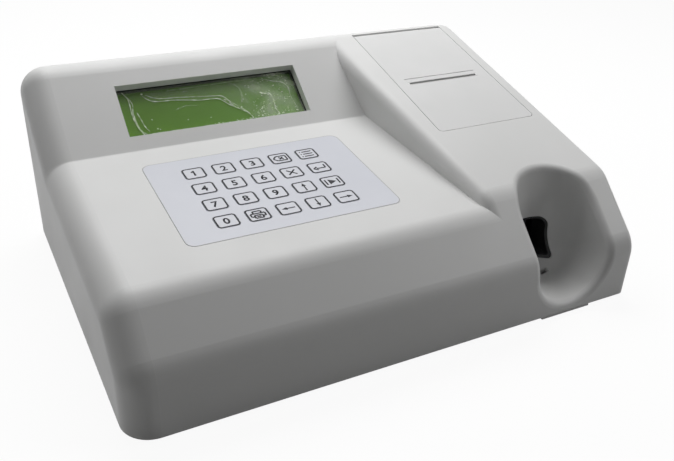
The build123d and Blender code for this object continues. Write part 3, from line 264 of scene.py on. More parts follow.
def facePlane(nodeName, tilt):      # frame, width and length of a node's top face
    angle = math.radians(tilt)
    across = Vector((1, 0, 0))
    along = Vector((0, math.cos(angle), math.sin(angle)))
    up = Vector((0, -math.sin(angle), math.cos(angle)))
    points = [v.co for v in nodes[nodeName].data.vertices]
    top = max(p.dot(up) for p in points)
    face = [p for p in points if p.dot(up) > top - faceDepth]
    xs = [p.dot(across) for p in face]
    ss = [p.dot(along) for p in face]
    middle = across * (min(xs) + max(xs)) / 2 + along * (min(ss) + max(ss)) / 2 + up * top
    turn = Matrix((across, along, up)).transposed().to_4x4()
    return Matrix.Translation(middle) @ turn, max(xs) - min(xs), max(ss) - min(ss)


display = {
    "shade": (0.088, 0.215, 0.006),      # painted shade, at the left end
    "lit": (0.120, 0.275, 0.035),        # painted light, at the right end
    "greenSpan": (0.12, 0.9),            # the green changes between these shares of the width
    "cellSize": 0.51 * mm,
    "cellGap": 0.1,                      # of a cell
    "cellTone": (0.02, 0.05, 0.01),
    "cellDepth": 0.05,
    "cloudSize": 20 * mm,
    "cloudDepth": 0.35,
    "edgeDark": (0.008, 0.011, 0.008),       # dark band along the top and right edges of the glass, where it meets the window's walls
    "edgeDarkTop": 0.945,                    # where the dark band starts, as shares of the film
    "edgeDarkRight": 0.990,
    "edgeDarkBlur": 0.3 * mm,
    "shadow": (0.055, 0.085, 0.045),     # painted shade below the dark band at the top
    "shadowWidth": 3.0 * mm,
    "shadowDepth": 0.30,
    "smear": 10 * mm,
    "rough": (0.12, 0.22),
    "specular": 0.35,
}


def displayFinish():      # a fine cell grid over a green with painted light growing towards the right
    material, shader = newMaterial("display_glass")
    x, y, z = splitPlace(material)
    low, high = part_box("lcd_glass")
    along = spread(material, x, 0.0, 1.0, low.x, high.x)
    green = ramp(material, along, display["shade"], display["lit"], display["greenSpan"])
    cells = material.node_tree.nodes.new("ShaderNodeTexBrick")
    cells.offset = 0.0
    cells.inputs["Scale"].default_value = 1.0
    cells.inputs["Brick Width"].default_value = display["cellSize"]
    cells.inputs["Row Height"].default_value = display["cellSize"]
    cells.inputs["Mortar Size"].default_value = display["cellSize"] * display["cellGap"]
    link(material, objectPlace(material), cells.inputs["Vector"])
    cell = spread(material, cells.outputs["Fac"], display["cellDepth"], 0.0, 0.0, 1.0)
    tone = blendColor(material, cell, green, display["cellTone"])
    clouds = noiseField(material, display["cloudSize"])
    tone = blendColor(material, spread(material, clouds, 0.0, display["cloudDepth"]), tone,
                      display["shade"])
    sheet, width, length = facePlane("lcd_film", tilts["display"])
    top = (sheet @ Vector((0, (display["edgeDarkTop"] - 0.5) * length, 0))).z
    right = (sheet @ Vector(((display["edgeDarkRight"] - 0.5) * width, 0, 0))).x
    blur = display["edgeDarkBlur"]
    shadow = spread(material, z, 0.0, display["shadowDepth"], top - display["shadowWidth"], top)
    tone = blendColor(material, shadow, tone, display["shadow"])
    # darkens the glass past its top and right edges
    for place, edge in ((z, top), (x, right)):
        outside = spread(material, place, 0.0, 1.0, edge - blur, edge + blur)
        tone = blendColor(material, outside, tone, display["edgeDark"])
    link(material, tone, shader.inputs["Base Color"])
    smears = noiseField(material, display["smear"])
    link(material, spread(material, smears, *display["rough"]), shader.inputs["Roughness"])
    shader.inputs["Specular IOR Level"].default_value = display["specular"]
    return material


film = {
    "tones": ((0.74, 0.88, 0.56), (0.90, 0.96, 0.84)),
    "patch": 4 * mm,
    "smear": 3 * mm,
    "rough": (0.10, 0.22),
    "crease": 6 * mm,
    "creaseTwist": 1.0,
    "creaseDepth": 0.2 * mm,
    "mark": "milkiness",      # a number at each point of the mesh, 0 is clear
}


def filmFinish():      # nearly invisible where it lies flat, milky along its creases
    material, shader = newMaterial("clear_film")
    tone = ramp(material, noiseField(material, film["patch"]), *film["tones"])
    link(material, tone, shader.inputs["Base Color"])
    smears = noiseField(material, film["smear"])
    link(material, spread(material, smears, *film["rough"]), shader.inputs["Roughness"])
    creases = noiseField(material, film["crease"], distortion=film["creaseTwist"])
    bump(material, shader, creases, film["creaseDepth"])
    mark = material.node_tree.nodes.new("ShaderNodeAttribute")
    mark.attribute_name = film["mark"]
    link(material, mark.outputs["Fac"], shader.inputs["Alpha"])
    return material


slotMaterials["display_glass"] = displayFinish()
slotMaterials["clear_film"] = filmFinish()

coverSlot = {      # painted shade on the eased lips of the paper slot, and painted light on its inner walls
    "middle": (120.9 * mm, 41.7 * mm),
    "halfWidth": 31.0 * mm,
    "endBlur": 1.0 * mm,
    "lips": (1.3 * mm, 2.4 * mm),      # full shade and none, from the slot's middle line
    # painted shade on the lips round the slot
    "lipPaintedShade": (0.52, 0.52, 0.515),
    "inside": (0.7 * mm, 0.95 * mm),
    # painted light on the slot's inner walls
    "insidePaintedLight": (0.88, 0.88, 0.875),
}


# paints shade and light into the cover's colour round its paper slot
def paintSlotShadeAndLight(material):
    shader = material.node_tree.nodes["Principled BSDF"]
    tone = shader.inputs["Base Color"].links[0].from_socket
    x, y, z = splitPlace(material)
    half = coverSlot["halfWidth"]
    wide = nearMask(material, x, coverSlot["middle"][0], half, half + coverSlot["endBlur"])
    # darkens the lips with painted shade, then lightens the inner walls with painted light
    for reach, shade in (("lips", "lipPaintedShade"), ("inside", "insidePaintedLight")):
        band = nearMask(material, y, coverSlot["middle"][1], *coverSlot[reach])
        paintedArea = combine(material, "MULTIPLY", wide, band)
        tone = blendColor(material, paintedArea, tone, coverSlot[shade])
    link(material, tone, shader.inputs["Base Color"])


paintSlotShadeAndLight(slotMaterials["cover_shell"])

serialPort = {      # its black socket block is seen inside the plated shell
    "halfWidth": 6.9 * mm,
    "halfHeight": 3.1 * mm,
    "blur": 0.1 * mm,
    "depth": (0.15 * mm, 0.165 * mm),
    "block": (0.018, 0.018, 0.020),
}


def portFinish():
    material = makeFinish("serial_port", looks["plated_steel"])
    shader = material.node_tree.nodes["Principled BSDF"]
    steel = shader.inputs["Base Color"].links[0].from_socket
    low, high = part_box("serial_port")
    x, y, z = splitPlace(material)
    block = nearMask(material, y, high.y, *serialPort["depth"])
    for along, middle, size in ((x, (low.x + high.x) / 2, "halfWidth"),
                                (z, (low.z + high.z) / 2, "halfHeight")):
        half = serialPort[size]
        side = nearMask(material, along, middle, half, half + serialPort["blur"])
        block = combine(material, "MULTIPLY", block, side)
    tone = blendColor(material, block, steel, serialPort["block"])
    link(material, tone, shader.inputs["Base Color"])
    link(material, combine(material, "SUBTRACT", 1.0, block), shader.inputs["Metallic"])
    return material


sharpAngle = math.radians(32)
for nodeName, node in nodes.items():
    node.data.materials.clear()
    node.data.materials.append(slotMaterials[slotOfNode[nodeName]])
    node.data.shade_smooth()
    node.data.set_sharp_from_angle(angle=sharpAngle)
nodes["serial_port"].data.materials[0] = portFinish()
print("finishes made:", len(slotMaterials))


# flat artwork is drawn in metres on its own plane, then laid on the face it is printed on
def roundedOutline(width, length, radius, steps):
    points = []
    for corner, (sx, sy) in enumerate(((1, 1), (-1, 1), (-1, -1), (1, -1))):
        for i in range(steps + 1):
            a = math.radians(90 * corner + 90 * i / steps)
            points.append((sx * (width / 2 - radius) + radius * math.cos(a),
                           sy * (length / 2 - radius) + radius * math.sin(a)))
    return points


def addFrame(mesh, width, length, corner, line, steps):      # a rounded line of even width
    outer, inner = [[mesh.verts.new((x, y, 0)) for x, y in
                     roundedOutline(width - 2 * inset, length - 2 * inset, corner - inset, steps)]
                    for inset in (0.0, line)]
    for i in range(len(outer)):
        j = (i + 1) % len(outer)
        mesh.faces.new((outer[i], outer[j], inner[j], inner[i]))


def addPatch(mesh, points):
    mesh.faces.new([mesh.verts.new((x, y, 0)) for x, y in points])


def addStroke(mesh, x0, y0, x1, y1, width):
    run = Vector((x1 - x0, y1 - y0))
    side = Vector((-run.y, run.x)).normalized() * width / 2
    addPatch(mesh, [(x0 - side.x, y0 - side.y), (x1 - side.x, y1 - side.y),
                    (x1 + side.x, y1 + side.y), (x0 + side.x, y0 + side.y)])


def liftInk(mesh, thickness):      # gives flat artwork the thickness of printed ink
    bmesh.ops.remove_doubles(mesh, verts=mesh.verts, dist=0.0001 * mm)
    bmesh.ops.recalc_face_normals(mesh, faces=mesh.faces)
    for face in mesh.faces:
        if face.normal.z < 0:
            face.normal_flip()
    lifted = bmesh.ops.extrude_face_region(mesh, geom=mesh.faces[:])
    up = [item for item in lifted["geom"] if isinstance(item, bmesh.types.BMVert)]
    bmesh.ops.translate(mesh, verts=up, vec=(0, 0, thickness))
    bmesh.ops.recalc_face_normals(mesh, faces=mesh.faces)


def newObject(name, mesh, material):
    data = bpy.data.meshes.new(name)
    mesh.to_mesh(data)
    mesh.free()
    data.materials.append(material)
    item = bpy.data.objects.new(name, data)
    scene.collection.objects.link(item)
    return item


def newPiece(name, mesh, place, material, body):
    piece = newObject(name, mesh, material)
    piece.data.transform(place)
    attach(piece, body)
    return piece


inkLift = Matrix.Translation((0, 0, 0.01 * mm))      # keeps ink clear of the face under it
inkBlack = makeFinish("legend_ink", {
    "tones": ((0.008, 0.008, 0.012), (0.016, 0.016, 0.022)), "patch": 4 * mm,
    "rough": (0.5, 0.65), "grain": (0.4 * mm, 0.005 * mm), "plain": {"Specular IOR Level": 0.2}})
inkGrey = makeFinish("edge_ink", {
    "tones": ((0.30, 0.30, 0.29), (0.38, 0.38, 0.37)), "patch": 20 * mm,
    "rough": (0.35, 0.5), "grain": (0.4 * mm, 0.005 * mm)})

keyPrint = {
    "lineWidth": 1.05 * mm,
    "lineInset": 0.02 * mm,
    "corner": 2.4 * mm,
    "cornerSteps": 8,
    "digitHeight": 6.1 * mm,
    "capShare": 0.73,              # a digit's height in its font size
    "weight": 0.034,               # digits are thickened by this share of their height
    "arrowLength": 9.0 * mm,
    "arrowWidth": 1.0 * mm,
    "headLength": 3.6 * mm,
    "headWidth": 3.1 * mm,
    "stroke": 1.15 * mm,
    "ink": 0.03 * mm,
    "playSign": ((-2.4, -3.1), (2.9, 0.0), (-2.4, 3.1)),
}
arrowTurns = {"right": 0, "up": 90, "left": 180, "down": 270}
signStrokes = {      # ends of each stroke, in millimetres from the key's middle
    "clear": [(-4.6, 0, -2.2, 2.9), (-2.2, 2.9, 4.6, 2.9), (4.6, 2.9, 4.6, -2.9),
              (4.6, -2.9, -2.2, -2.9), (-2.2, -2.9, -4.6, 0), (-0.6, 1.4, 2.4, -1.4),
              (-0.6, -1.4, 2.4, 1.4)],
    "menu": [(-2.6, 3.0, 4.4, 3.0), (-2.6, 0.0, 4.4, 0.0), (-2.6, -3.0, 4.4, -3.0),
             (-4.4, 3.0, -3.6, 3.0), (-4.4, 0.0, -3.6, 0.0), (-4.4, -3.0, -3.6, -3.0)],
    "cancel": [(-2.9, 2.9, 2.9, -2.9), (-2.9, -2.9, 2.9, 2.9)],
    "enter": [(4.2, 2.8, 4.2, -1.2), (4.2, -1.2, -2.4, -1.2), (-4.4, -1.2, -1.6, 0.8),
              (-4.4, -1.2, -1.6, -3.2)],
    "start": [(-4.4, 3.1, -4.4, -3.1), (4.4, 3.1, 4.4, -3.1)],
    "print": [(-2.6, 3.6, 2.6, 3.6), (-2.6, 3.6, -2.6, 1.2), (2.6, 3.6, 2.6, 1.2),
              (-4.6, 1.2, 4.6, 1.2), (-4.6, 1.2, -4.6, -2.0), (4.6, 1.2, 4.6, -2.0),
              (-4.6, -2.0, -2.6, -2.0), (2.6, -2.0, 4.6, -2.0), (-2.6, -0.6, 2.6, -0.6),
              (-2.6, -0.6, -2.6, -3.8), (2.6, -0.6, 2.6, -3.8), (-2.6, -3.8, 2.6, -3.8),
              (-1.4, -2.2, 1.4, -2.2)],
    "1": [(-1.7, 1.2, 0.2, 2.75)],      # the flag of the digit
}


def addDigit(mesh, text):
    height = keyPrint["digitHeight"]
    curve = bpy.data.curves.new("digit", "FONT")
    curve.body = text
    curve.size = height / keyPrint["capShare"]
    curve.align_x = "CENTER"
    curve.align_y = "CENTER"
    curve.offset = height * keyPrint["weight"]
    carrier = bpy.data.objects.new("digit", curve)
    scene.collection.objects.link(carrier)
    bpy.context.view_layer.update()
    flat = bpy.data.meshes.new_from_object(carrier)
    xs = [v.co.x for v in flat.vertices]
    ys = [v.co.y for v in flat.vertices]
    flat.transform(Matrix.Translation((-(min(xs) + max(xs)) / 2, -(min(ys) + max(ys)) / 2, 0)))
    mesh.from_mesh(flat)
    bpy.data.objects.remove(carrier)
    bpy.data.meshes.remove(flat)


def addArrow(mesh, degrees):
    turn = Matrix.Rotation(math.radians(degrees), 2)
    tip, neck = keyPrint["arrowLength"] / 2, keyPrint["arrowLength"] / 2 - keyPrint["headLength"]
    thick, wide = keyPrint["arrowWidth"] / 2, keyPrint["headWidth"] / 2
    for shape in ([(-tip, -thick), (neck, -thick), (neck, thick), (-tip, thick)],
                  [(neck, -wide), (tip, 0), (neck, wide)]):
        addPatch(mesh, [turn @ Vector(p) for p in shape])


def keyLegend(keyName):      # a framed digit, arrow or simple sign
    place, width, length = facePlane(keyName, tilts["deck"])
    mark = keyName.split("_")[1]
    inset = 2 * keyPrint["lineInset"]
    mesh = bmesh.new()
    addFrame(mesh, width - inset, length - inset, keyPrint["corner"], keyPrint["lineWidth"],
             keyPrint["cornerSteps"])
    if mark in arrowTurns:
        addArrow(mesh, arrowTurns[mark])
    if mark.isdigit():
        addDigit(mesh, mark)
    for stroke in signStrokes.get(mark, []):
        addStroke(mesh, *[end * mm for end in stroke], keyPrint["stroke"])
    if mark == "start":
        addPatch(mesh, [(x * mm, y * mm) for x, y in keyPrint["playSign"]])
    liftInk(mesh, keyPrint["ink"])
    newPiece("legend_" + mark, mesh, place @ inkLift, inkBlack, keyName)


keyNames = [name for name in nodes if name.startswith("key_")]
for keyName in keyNames:
    keyLegend(keyName)
print("key legends made:", len(keyNames))

sheetEdge = {"lineWidth": 0.28 * mm, "corner": 6.0 * mm, "cornerSteps": 14, "ink": 0.02 * mm}


def overlayEdge():      # thin grey line round the keypad sheet
    place, width, length = facePlane("keypad_overlay", tilts["deck"])
    mesh = bmesh.new()
    addFrame(mesh, width, length, sheetEdge["corner"], sheetEdge["lineWidth"],
             sheetEdge["cornerSteps"])
    liftInk(mesh, sheetEdge["ink"])
    newPiece("overlay_edge_line", mesh, place @ inkLift, inkGrey, "housing")


overlayEdge()
print("keypad sheet's edge made")

wrinkles = {      # loose protective film; places are shares of what the window shows
    "shown": (0.025, 0.05, 0.975, 0.99),      # left, low, right, high, as shares of the film
    "cell": 1.0 * mm,
    "lift": 0.05 * mm,
    "ripple": 0.08 * mm,
    "rippleRate": 90,                         # ripples per metre
    "milkLimits": (0.02, 0.95),
    "foldHeight": 0.32 * mm,
    "edgeHeight": 0.05 * mm,                  # how much a fold's far edge and the specks stand up
    "folds": [                                # points, width in millimetres, strength
        ([(0.11, 0.91), (0.12, 0.83), (0.17, 0.71), (0.29, 0.68), (0.42, 0.61), (0.49, 0.60),
          (0.54, 0.57), (0.59, 0.41), (0.66, 0.24), (0.69, 0.12), (0.70, 0.04)], 0.45, 0.72),
        ([(0.13, 0.87), (0.20, 0.76), (0.31, 0.73), (0.42, 0.69), (0.54, 0.65), (0.57, 0.60),
          (0.60, 0.47), (0.65, 0.31), (0.69, 0.15)], 0.42, 0.60),
        ([(0.01, 0.98), (0.03, 0.85), (0.033, 0.69), (0.03, 0.54), (0.032, 0.38), (0.046, 0.16),
          (0.066, 0.02)], 0.55, 0.85),
        ([(0.03, 0.88), (0.048, 0.71), (0.038, 0.54), (0.04, 0.32), (0.054, 0.12), (0.08, 0.03)],
         0.45, 0.70),
        ([(0.058, 0.52), (0.069, 0.36), (0.079, 0.20), (0.097, 0.08)], 0.50, 0.80),
        ([(0.25, 0.90), (0.37, 0.91), (0.52, 0.92), (0.62, 0.93), (0.75, 0.93), (0.83, 0.90),
          (0.89, 0.83), (0.95, 0.76), (0.975, 0.63), (0.97, 0.45), (0.976, 0.28), (0.985, 0.13)],
         0.38, 0.55),
        ([(0.85, 0.98), (0.93, 0.93), (0.97, 0.82)], 0.40, 0.60),
        ([(0.62, 0.92), (0.66, 0.83), (0.68, 0.69), (0.67, 0.53), (0.66, 0.43)], 0.80, 0.28),
        ([(0.785, 0.60), (0.823, 0.56), (0.848, 0.54), (0.856, 0.39), (0.85, 0.20),
          (0.863, 0.08)], 0.60, 0.80),
        ([(0.56, 0.56), (0.585, 0.50), (0.61, 0.37), (0.65, 0.28)], 0.90, 0.45),
        ([(0.27, 0.46), (0.33, 0.52), (0.40, 0.50)], 0.60, 0.16),
        ([(0.09, 0.03), (0.30, 0.028), (0.55, 0.026), (0.80, 0.028), (0.985, 0.03)], 0.60, 0.80),
    ],
    "specks": [      # place and size in millimetres
        (0.113, 0.90, 1.3), (0.127, 0.33, 1.0), (0.141, 0.12, 1.3), (0.155, 0.10, 0.8),
        (0.322, 0.22, 0.8), (0.453, 0.20, 0.8), (0.35, 0.84, 0.6), (0.365, 0.84, 0.6),
        (0.553, 0.035, 1.2), (0.488, 0.06, 0.8), (0.627, 0.05, 0.9), (0.655, 0.055, 0.6),
        (0.732, 0.75, 0.9), (0.702, 0.60, 0.7), (0.677, 0.50, 0.6), (0.652, 0.34, 0.8),
        (0.774, 0.26, 1.5), (0.768, 0.23, 1.1), (0.785, 0.28, 0.9), (0.757, 0.08, 1.4),
        (0.925, 0.55, 1.4), (0.926, 0.38, 0.7), (0.975, 0.61, 0.8), (0.905, 0.12, 0.7),
        (0.981, 0.09, 1.7), (0.86, 0.07, 1.2), (0.80, 0.57, 0.9), (0.835, 0.53, 1.0),
    ],
}
haze = {      # how milky the film is between its folds
    "clear": 0.02,
    "aboveFold": 0.09,                  # added above the first fold, as far as the loose part
    "foldBlur": (-0.01, 0.02),
    "loose": (0.05, 0.26),              # added in the loose right part, evenly and in patches
    "looseFrom": (0.70, 0.745),
    "looseLean": 0.08,
    "patchRate": (9, 3.4),              # patches across and up the window
    "patchSeed": 9,
}
ribbon = {      # a fold is a thin raised ribbon
    "steps": 12,                        # from one point of a fold to the next
    "jagRate": 900,                     # per metre
    "jagSeed": 5.0,                     # apart from one fold to the next
    "jag": 0.18 * mm,
    "breakRate": 420,
    "breakSeed": 3.0,
    "width": (0.72, 0.4),               # share of the width, and how much the breaks change it
    "milk": (0.80, 0.5, 0.3),           # share of the strength, what breaks and jags add
    "farSide": 0.8,                     # the far edge is this much as milky
    "tip": (0.3, 5),                    # width at the ends, and steps from there to full width
}
strewn = {      # fine specks, most of them in the loose right part
    "seed": 7,
    "count": 150,
    "turns": 5,                                   # of each five, one low, one spread, three loose
    "low": ((0.45, 0.72), (0.01, 0.07)),
    "spread": ((0.83, 0.04), (0.45, 0.16)),       # middle and deviation
    "loose": ((0.70, 0.98), (0.03, 0.92)),
    "limits": (0.985, 0.01, 0.95),                # right, low, high
    "size": (0.35, 1.0),
    "corners": 7,
    "reach": (0.25, 0.75),
    "flatten": 0.8,
    "milk": (0.80, 0.95),
}


def heightAt(line, u):      # height of a line of points at u
    for (ax, ay), (bx, by) in zip(line, line[1:]):
        if ax <= u <= bx:
            return ay + (by - ay) * (u - ax) / (bx - ax)
    return line[0][1] if u < line[0][0] else line[-1][1]


def softStep(value, low, high):
    t = max(0.0, min(1.0, (value - low) / (high - low)))
    return t * t * (3 - 2 * t)


def smoothWalk(line, steps):      # points of a smooth curve through the line's points
    ends = [line[0]] + list(line) + [line[-1]]
    walk = []
    for a, b, c, d in zip(ends, ends[1:], ends[2:], ends[3:]):
        for i in range(steps):
            t = i / steps
            walk.append([0.5 * (2 * b[k] + (c[k] - a[k]) * t
                                + (2 * a[k] - 5 * b[k] + 4 * c[k] - d[k]) * t * t
                                + (3 * b[k] - a[k] - 3 * c[k] + d[k]) * t ** 3) for k in (0, 1)])
    walk.append(list(line[-1]))
    return walk


def hazeAt(u, v):
    above = softStep(v - heightAt(wrinkles["folds"][0][0], u), *haze["foldBlur"])
    loose = softStep(u + haze["looseLean"] * v, *haze["looseFrom"])
    across, up = haze["patchRate"]
    patchy = 0.5 + noise.noise(Vector((u * across, v * up, haze["patchSeed"])))
    even, patches = haze["loose"]
    return (haze["clear"] + haze["aboveFold"] * above * (1 - loose)
            + loose * (even + patches * patchy))


def filmPoint(mesh, x, y, z, milk):
    vertex = mesh.verts.new((x, y, z))
    least, most = wrinkles["milkLimits"]
    vertex[mesh.verts.layers.float[film["mark"]]] = min(most, max(least, milk))
    return vertex


def addFilmSheet(mesh, width, length):
    left, low, right, high = wrinkles["shown"]
    columns, rows = round(width / wrinkles["cell"]), round(length / wrinkles["cell"])
    grid = []
    for j in range(rows + 1):
        row = []
        for i in range(columns + 1):
            x, y = i / columns * width, j / rows * length
            u, v = (i / columns - left) / (right - left), (j / rows - low) / (high - low)
            wave = noise.noise(Vector((x, y, 0)) * wrinkles["rippleRate"])
            z = wrinkles["lift"] + wrinkles["ripple"] * (wave + 1)
            row.append(filmPoint(mesh, x - width / 2, y - length / 2, z, hazeAt(u, v)))
        grid.append(row)
    for j in range(rows):
        for i in range(columns):
            mesh.faces.new((grid[j][i], grid[j][i + 1], grid[j + 1][i + 1], grid[j + 1][i]))


def addFold(mesh, index, walk, wide, strength):
    last = len(walk) - 1
    before = None
    for k, (x, y) in enumerate(walk):
        ahead, behind = walk[min(k + 1, last)], walk[max(k - 1, 0)]
        run = Vector((ahead[0] - behind[0], ahead[1] - behind[1])).normalized()
        jagged = Vector((x * ribbon["jagRate"], y * ribbon["jagRate"],
                         index * ribbon["jagSeed"]))
        breaks = Vector((x * ribbon["breakRate"], y * ribbon["breakRate"],
                         index * ribbon["breakSeed"] + 1))
        jag, broken = noise.noise(jagged), noise.noise(breaks)
        taper = min(1.0, ribbon["tip"][0] + min(k, last - k) / ribbon["tip"][1])
        half = wide * (ribbon["width"][0] + ribbon["width"][1] * broken) * taper
        x, y = x - run.y * jag * ribbon["jag"], y + run.x * jag * ribbon["jag"]
        share, fromBreaks, fromJag = ribbon["milk"]
        milk = strength * (share + fromBreaks * broken + fromJag * jag)
        near = wrinkles["foldHeight"]
        far = near + wrinkles["edgeHeight"] * (1 + jag)
        pair = (filmPoint(mesh, x - run.y * half, y + run.x * half, near, milk),
                filmPoint(mesh, x + run.y * half, y - run.x * half, far,
                          milk * ribbon["farSide"]))
        if before:
            mesh.faces.new((before[0], before[1], pair[1], pair[0]))
        before = pair


def strewSpecks(strew):      # places and sizes of the fine specks
    farRight, lowest, highest = strewn["limits"]
    specks = []
    for index in range(strewn["count"]):
        turn = index % strewn["turns"]
        across, up = strewn["low" if turn == 0 else "spread" if turn == 1 else "loose"]
        draw = strew.gauss if turn == 1 else strew.uniform
        u, v = draw(*across), draw(*up)
        specks.append((min(u, farRight), min(max(v, lowest), highest),
                       strew.uniform(*strewn["size"])))
    return specks


def addSpeck(mesh, strew, x, y, size):
    z = wrinkles["foldHeight"] + wrinkles["edgeHeight"]
    turn = strew.uniform(0, math.pi)
    corners = []
    for k in range(strewn["corners"]):
        away = size * strew.uniform(*strewn["reach"])
        angle = turn + 2 * math.pi * k / strewn["corners"]
        corners.append(filmPoint(mesh, x + away * math.cos(angle),
                                 y + away * strewn["flatten"] * math.sin(angle), z,
                                 strew.uniform(*strewn["milk"])))
    mesh.faces.new(corners)


def displayFilm():
    place, width, length = facePlane("lcd_film", tilts["display"])
    left, low, right, high = wrinkles["shown"]

    def onFilm(u, v):      # place on the film of a share of the window
        return (left + u * (right - left) - 0.5) * width, (low + v * (high - low) - 0.5) * length

    mesh = bmesh.new()
    mesh.verts.layers.float.new(film["mark"])
    addFilmSheet(mesh, width, length)
    for index, (line, wide, strength) in enumerate(wrinkles["folds"]):
        walk = smoothWalk([onFilm(u, v) for u, v in line], ribbon["steps"])
        addFold(mesh, index, walk, wide * mm, strength)
    strew = random.Random(strewn["seed"])
    for u, v, size in wrinkles["specks"] + strewSpecks(strew):
        addSpeck(mesh, strew, *onFilm(u, v), size * mm)
    piece = newPiece("display_film", mesh, place, slotMaterials["clear_film"], "housing")
    piece.data.shade_smooth()
    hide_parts("lcd_film")


displayFilm()
print("display film made")

paperRoll = {
    "ease": 0.15 * mm,       # worn off the outside, so that it turns freely
    "edge": 0.3 * mm,
    "bore": 6.0 * mm,        # radius
    "card": 7.3 * mm,        # outer radius of the card core
    "cardBlur": 0.1 * mm,
    "facets": 144,
    "tones": ((0.66, 0.66, 0.645), (0.82, 0.82, 0.805)),
    "toneSpan": (0.35, 0.55),
    "cardTone": (0.30, 0.205, 0.12),
    "winding": 0.9 * mm,
    "windingDetail": 6.0,
    "windingDepth": 0.04 * mm,
    "rough": (0.48, 0.62),
}


def vectorStep(material, operation, value, second=(0.0, 0.0, 0.0)):
    node = material.node_tree.nodes.new("ShaderNodeVectorMath")
    node.operation = operation
    node.inputs[1].default_value = second
    link(material, value, node.inputs[0])
    return node.outputs["Value" if operation == "LENGTH" else "Vector"]


def rollFinish(middle):      # rings of wound paper round a card core
    material, shader = newMaterial("wound_paper")
    fromAxis = vectorStep(material, "SUBTRACT", objectPlace(material), middle)
    radius = vectorStep(material, "LENGTH",
                        vectorStep(material, "MULTIPLY", fromAxis, (0.0, 1.0, 1.0)))
    rings = material.node_tree.nodes.new("ShaderNodeTexNoise")
    rings.noise_dimensions = "1D"
    rings.inputs["Scale"].default_value = 1 / paperRoll["winding"]
    rings.inputs["Detail"].default_value = paperRoll["windingDetail"]
    link(material, radius, rings.inputs["W"])
    wound = rings.outputs["Fac"]
    tone = ramp(material, wound, *paperRoll["tones"], paperRoll["toneSpan"])
    card = spread(material, radius, 1.0, 0.0, paperRoll["card"] - paperRoll["cardBlur"],
                  paperRoll["card"] + paperRoll["cardBlur"])
    tone = blendColor(material, card, tone, paperRoll["cardTone"])
    link(material, tone, shader.inputs["Base Color"])
    link(material, spread(material, wound, *paperRoll["rough"]), shader.inputs["Roughness"])
    bump(material, shader, wound, paperRoll["windingDepth"])
    return material


def makePaperRoll():
    low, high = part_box("paper_roll")
    middle = (low + high) / 2
    outside = (high.z - low.z) / 2 - paperRoll["ease"]
    bore, edge = paperRoll["bore"], paperRoll["edge"]
    profile = [(low.x, bore), (low.x, outside - edge), (low.x + edge, outside),
               (high.x - edge, outside), (high.x, outside - edge), (high.x, bore)]
    mesh = bmesh.new()
    rows = []
    for i in range(paperRoll["facets"]):
        angle = 2 * math.pi * i / paperRoll["facets"]
        rows.append([mesh.verts.new((x, middle.y + r * math.cos(angle),
                                     middle.z + r * math.sin(angle))) for x, r in profile])
    for a, b in zip(rows, rows[1:] + rows[:1]):
        for k in range(len(profile)):
            n = (k + 1) % len(profile)
            mesh.faces.new((a[k], b[k], b[n], a[n]))
    bmesh.ops.recalc_face_normals(mesh, faces=mesh.faces)
    piece = newPiece("wound_paper_roll", mesh, Matrix.Identity(4), rollFinish(middle), "paper")
    piece.data.shade_smooth()
    piece.data.set_sharp_from_angle(angle=sharpAngle)
    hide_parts("paper_roll")


makePaperRoll()
print("paper roll made")


def seenDirectly(owner):      # 1 for what the camera sees, straight or in metal and glass
    rays = owner.node_tree.nodes.new("ShaderNodeLightPath").outputs
    mirrored = combine(owner, "MAXIMUM", rays["Is Glossy Ray"], rays["Is Transmission Ray"])
    return combine(owner, "MAXIMUM", rays["Is Camera Ray"], mirrored)


def mixSurfaces(owner, share, first, second, output):
    mixed = owner.node_tree.nodes.new("ShaderNodeMixShader")
    link(owner, share, mixed.inputs["Fac"])
    link(owner, first, mixed.inputs[1])
    link(owner, second, mixed.inputs[2])
    link(owner, mixed.outputs["Shader"], owner.node_tree.nodes[output].inputs["Surface"])


floorLook = {
    "size": 6.0,
    "tone": (0.40, 0.40, 0.398),
    "rough": 0.9,
    "white": 1.14,           # strength of the white that is seen
    "whiteShare": 0.82,      # the rest shows the object's shadow
}


def makeFloor():
    material, shader = newMaterial("floor")
    feed(material, floorLook["tone"], shader.inputs["Base Color"])
    shader.inputs["Roughness"].default_value = floorLook["rough"]
    shader.inputs["Specular IOR Level"].default_value = 0.0
    glow = material.node_tree.nodes.new("ShaderNodeEmission")
    glow.inputs["Strength"].default_value = floorLook["white"]
    share = combine(material, "MULTIPLY", seenDirectly(material), floorLook["whiteShare"])
    mixSurfaces(material, share, shader.outputs["BSDF"], glow.outputs["Emission"],
                "Material Output")
    half = floorLook["size"] / 2
    mesh = bmesh.new()
    addPatch(mesh, [(-half, -half), (half, -half), (half, half), (-half, half)])
    newObject("floor", mesh, material)


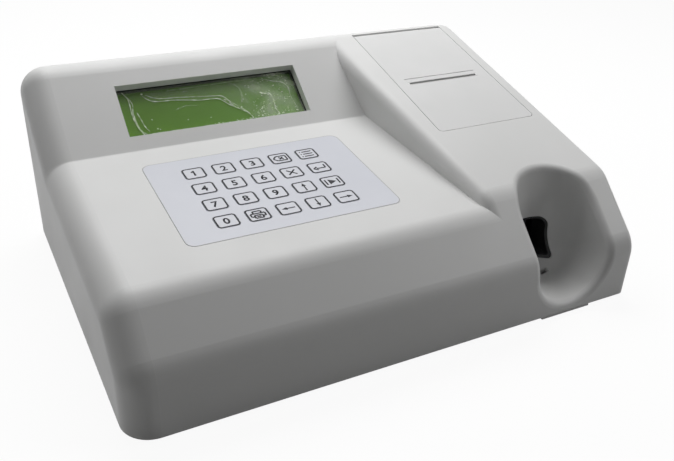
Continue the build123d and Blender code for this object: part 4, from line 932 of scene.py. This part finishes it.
lamps = {      # metres and watts
    "overBack": {"place": (0.12, 0.42, 0.80), "aim": (0.02, 0.02, 0.08), "size": (0.80, 0.50),
                 "power": 6.6},
    "rightHigh": {"place": (0.85, -0.45, 0.75), "aim": (0.10, -0.05, 0.05), "size": (0.4, 0.4),
                  "power": 2.6},
    "leftSoft": {"place": (-0.95, 0.30, 0.45), "aim": (-0.10, 0.0, 0.05), "size": (0.5, 0.5),
                 "power": 1.0},
    "backLow": {"place": (0.0, 1.0, 0.55), "aim": (0.0, 0.1, 0.10), "size": (0.9, 0.4),
                "power": 1.2},
}


def makeLamps():
    for name, lamp in lamps.items():
        data = bpy.data.lights.new(name, "AREA")
        data.shape = "RECTANGLE"
        data.size, data.size_y = lamp["size"]
        data.energy = lamp["power"]
        item = bpy.data.objects.new(name, data)
        item.location = lamp["place"]
        aim = Vector(lamp["aim"]) - Vector(lamp["place"])
        item.rotation_euler = aim.to_track_quat("-Z", "Y").to_euler()
        scene.collection.objects.link(item)


room = {
    "color": (1.0, 1.0, 1.0),
    "light": 0.04,      # strength as a light
    "seen": 1.0,        # strength as the backdrop
}


def makeWorld():
    world = bpy.data.worlds.new("studio")
    world.use_nodes = True
    scene.world = world
    soft = world.node_tree.nodes["Background"]
    seen = world.node_tree.nodes.new("ShaderNodeBackground")
    for background, strength in ((soft, room["light"]), (seen, room["seen"])):
        background.inputs["Strength"].default_value = strength
        feed(world, room["color"], background.inputs["Color"])
    mixSurfaces(world, seenDirectly(world), soft.outputs["Background"],
                seen.outputs["Background"], "World Output")


view = {
    "place": (-0.2267, -0.4309, 0.3065),
    "turn": (60.1365, -2.3667, -27.5343),      # degrees about x, y and z
    "lens": 41.875,
    "sensor": 36.0,
    "nearest": 0.01,
}


def makeCamera():
    data = bpy.data.cameras.new("camera")
    data.lens = view["lens"]
    data.sensor_width = view["sensor"]
    data.clip_start = view["nearest"]
    camera = bpy.data.objects.new("camera", data)
    turn = Euler([math.radians(angle) for angle in view["turn"]])
    camera.matrix_world = Matrix.Translation(view["place"]) @ turn.to_matrix().to_4x4()
    scene.collection.objects.link(camera)
    scene.camera = camera


makeFloor()
makeLamps()
makeWorld()
makeCamera()
scene.view_settings.view_transform = "Standard"
print("floor, lamps and camera made")
